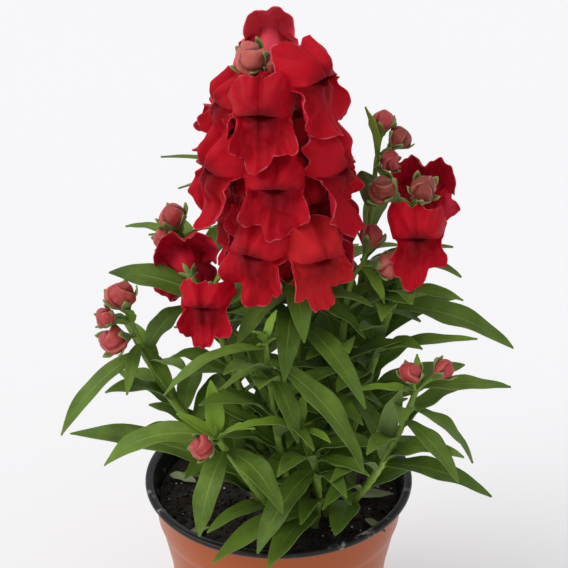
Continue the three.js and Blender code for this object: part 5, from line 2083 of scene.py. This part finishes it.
@dataclass
class Plant:
    """The potted snapdragon: all of its sub-assemblies, in the places that the solids have."""

    stems: dict[str, Stem] = field(init=False)
    flowers: list[Corolla] = field(init=False)
    inner: list[Corolla] = field(init=False)
    buds: list[Bud] = field(init=False)

    # Smaller leaves between the main ones: height apart, length and width, share of the usual room,
    # bare length below a stem's tip, and the greatest height.
    step: float = 5.5
    small_leaf: Row = (34, 9.5)
    squeeze: float = 0.42
    bare_tip: float = 14
    highest: float = 196
    # Height past which no spike flower sits, and how far below it its stalk starts.
    last_flower: float = 291
    stalk_drop: float = 2.5
    # How far fallen leaves lie above the soil, on its crumbs.
    on_crumbs: float = 1.4

    def __post_init__(self) -> None:
        """Places stems, flowers and buds, then lets the leaves find room."""
        self.stems = {plan.name: Stem(plan) for plan in STEMS}
        spike = [self._spike_flower(seed, plan) for seed, plan in enumerate(SPIKE_FLOWERS, start=1)]
        side = [self._side_flower(seed, plan) for seed, plan in enumerate(SIDE_FLOWERS, start=101)]
        self.flowers = [*spike, *side]
        inner = enumerate(INNER_FLOWERS, start=201)
        self.inner = [self._spike_flower(seed, plan, is_solid=False) for seed, plan in inner]
        carried = [(self.stems["main_stem"], plan) for plan in SPIKE_BUDS]
        carried += [(stem, plan) for stem in self.stems.values() for plan in stem.plan.buds]
        self.buds = [self._bud(stem, plan) for stem, plan in carried]
        greenery = Greenery(list(self.stems.values()), self.flowers, self.buds)
        draws = SeededDraws(SEED * 7)
        for stem in self.stems.values():
            if stem.plan.fill:
                greenery.grow(stem, stem.plan.fill, draws)
        self._thicken(greenery)
        main = self.stems["main_stem"]
        for height, *form in SPIKE_LEAVES:
            main.bracts.append(Blade(main.curve.at_height(height), *form, arch=0.06, roll=0, age=-0.3))

    def _thicken(self, greenery: Greenery) -> None:
        """Sets the smaller leaves between the main ones, within the solids' box.

        Args:
            greenery: What finds room for them.
        """
        inside = np.array([list(corner) for corner in CAD_BOX]) / MM
        draws = SeededDraws(SEED * 19)
        for number, stem in enumerate(self.stems.values()):
            high = min(stem.curve.top - self.bare_tip, self.highest)
            plan = FillPlan(93 + number % 4, high, 47.0 * number, self.step, *self.small_leaf)
            greenery.grow(stem, plan, draws, squeeze=self.squeeze, inside=inside)

    def _corolla(
        self,
        plan: SpikeFlower | SideFlower,
        stem: Stem,
        mouth: Array,
        stalk_height: float,
        seed: int,
        is_solid: bool = True,
    ) -> Corolla:
        """Sets a corolla by the middle of its mouth and notes its stalk on the stem.

        Args:
            plan: The flower's direction, size and form.
            stem: The stem that carries it.
            mouth: Middle of the mouth.
            stalk_height: Height on the stem where the stalk starts.
            seed: Seed of the flower's differences.
            is_solid: Whether it stands for a solid of the part.

        Returns:
            The placed corolla.
        """
        base = mouth - direction(plan.turn, plan.rise) * FACE_DEPTH * plan.size
        seat = Seat(base, plan.turn, plan.rise, plan.size)
        tint = FLOWER_TINTS.get(plan.name, PetalTint.CRIMSON)
        corolla = Corolla(plan, seat, seed, tint, is_solid)
        stem.carry(corolla.seat, stem.stalk_start(stalk_height), corolla.tube_radius, seed)
        return corolla

    def _spike_flower(self, seed: int, plan: SpikeFlower, is_solid: bool = True) -> Corolla:
        """Sets a flower of the spike at its distance from the main stem.

        Args:
            seed: Seed of the flower's differences.
            plan: Its place, direction and size.
            is_solid: Whether it stands for a solid of the part.

        Returns:
            The placed flower.
        """
        stem = self.stems["main_stem"]
        drop = FACE_DEPTH * plan.size * np.sin(np.radians(plan.rise))
        level = plan.height - drop
        mouth = stem.curve.at_height(min(level, self.last_flower)) + direction(plan.turn) * plan.reach
        mouth[2] = plan.height
        stalk_height = min(level - self.stalk_drop, self.last_flower - 1)
        return self._corolla(plan, stem, mouth, stalk_height, seed, is_solid)

    def _side_flower(self, seed: int, plan: SideFlower) -> Corolla:
        """Sets a flower of a side stem."""
        mouth = np.array(plan.mouth, float)
        return self._corolla(plan, self.stems[plan.stem], mouth, plan.stalk_height, seed)

    def _bud(self, stem: Stem, plan: BudPlan) -> Bud:
        """Sets a bud so that it points away from where its stalk starts.

        Args:
            stem: The stem that carries it.
            plan: Its place and length.

        Returns:
            The placed bud.
        """
        start = stem.stalk_start(plan.stalk_height)
        centre = np.array(plan.at, float)
        out = unit(centre - start)
        turn = float(np.degrees(np.arctan2(out[0], -out[1])))
        rise = float(np.degrees(np.arcsin(out[2])))
        seat = Seat(centre - out * plan.length / 2, turn, rise, plan.length / Bud.length)
        tint = BUD_TINTS.get(plan.name, BudTint.SALMON)
        stem.carry(seat, start, Bud.foot_radius, seed_of(plan.name))
        return Bud(plan, seat, tint)

    def build(self) -> None:
        """Builds and dresses every piece, from the pot up."""
        earth, leaf = Earth().build(), LeafMatte().build()
        Pot().build(BrickPlastic().build(), BlackPlastic().build())
        Soil().build(earth, Perlite().build())
        self._fallen_leaves(leaf)
        petal, bud_skin = PetalVelvet().build(), BudSkin().build()
        for flower in [*self.flowers, *self.inner]:
            flower.build(petal)
        for bud in self.buds:
            bud.build(bud_skin)
        stem_green, sepal = StemGreen().build(), SepalGreen().build()
        for stem in self.stems.values():
            stem.build(stem_green, sepal, leaf)

    def _fallen_leaves(self, leaf: Material) -> None:
        """Lays a few old leaves on the soil's crumbs.

        Args:
            leaf: Finish of the leaves.
        """
        skin = Skin("fallen_leaves")
        draws = SeededDraws(SEED * 23)
        for x, y, turn, length, width in FALLEN:
            base = np.array([x, y, float(Soil.height(np.array(x), np.array(y))) + self.on_crumbs])
            Blade(base, turn, 1.0, length, width, 0.02, 10 * draws(), age=1.0).add_to(skin, draws)
        settle(skin.build([leaf]), Slot.LEAF)


@dataclass(frozen=True)
class Studio:
    """Pale floor, soft light from the upper left and the front, and the camera. Lengths in metres."""

    floor_half: float = 6.0
    camera_place: Point = (0.002375, -0.5783, 0.4874)
    camera_pitch: float = 62.695
    lens: float = 97.69
    sensor: float = 36.0
    sky: float = 0.73
    sky_colour: Colour = (0.96, 0.97, 1.0, 1.0)
    sun_power: float = 1.42
    sun_angle: float = 42.0
    sun_colour: Point = (1.0, 0.99, 0.97)
    sun_heading: Point = (0.92, 0.34, -1.0)

    def build(self) -> None:
        """Builds the floor, the lights and the camera."""
        half = self.floor_half
        mesh = bpy.data.meshes.new("studio_floor")
        corners = [(-half, -half, 0), (half, -half, 0), (half, half, 0), (-half, half, 0)]
        mesh.from_pydata(corners, [], [(0, 1, 2, 3)])
        mesh.materials.append(PaleFloor().build())
        floor = linked("studio_floor", mesh)
        world = bpy.data.worlds.new("studio")
        world.use_nodes = True
        background = world.node_tree.nodes["Background"]
        background.inputs["Color"].default_value = self.sky_colour
        background.inputs["Strength"].default_value = self.sky
        sun = bpy.data.lights.new("key", "SUN")
        sun.energy, sun.angle, sun.color = self.sun_power, float(np.radians(self.sun_angle)), self.sun_colour
        linked("key", sun).rotation_euler = Vector(self.sun_heading).to_track_quat("-Z", "Y").to_euler()
        camera = bpy.data.cameras.new("camera")
        camera.lens, camera.sensor_width = self.lens, self.sensor
        camera.clip_start, camera.clip_end = 0.01, 50.0
        view = linked("camera", camera)
        view.location = self.camera_place
        view.rotation_euler = (np.radians(self.camera_pitch), 0.0, 0.0)
        scene = bpy.context.scene
        scene.world, scene.camera = world, view
        scene.view_settings.view_transform = "Standard"
        scene.view_settings.look = "None"


def main() -> None:
    """Builds the studio and the plant."""
    logging.basicConfig(level=logging.INFO, format="%(message)s")
    Studio().build()
    Plant().build()
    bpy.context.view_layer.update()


if __name__ == "__main__":
    main()
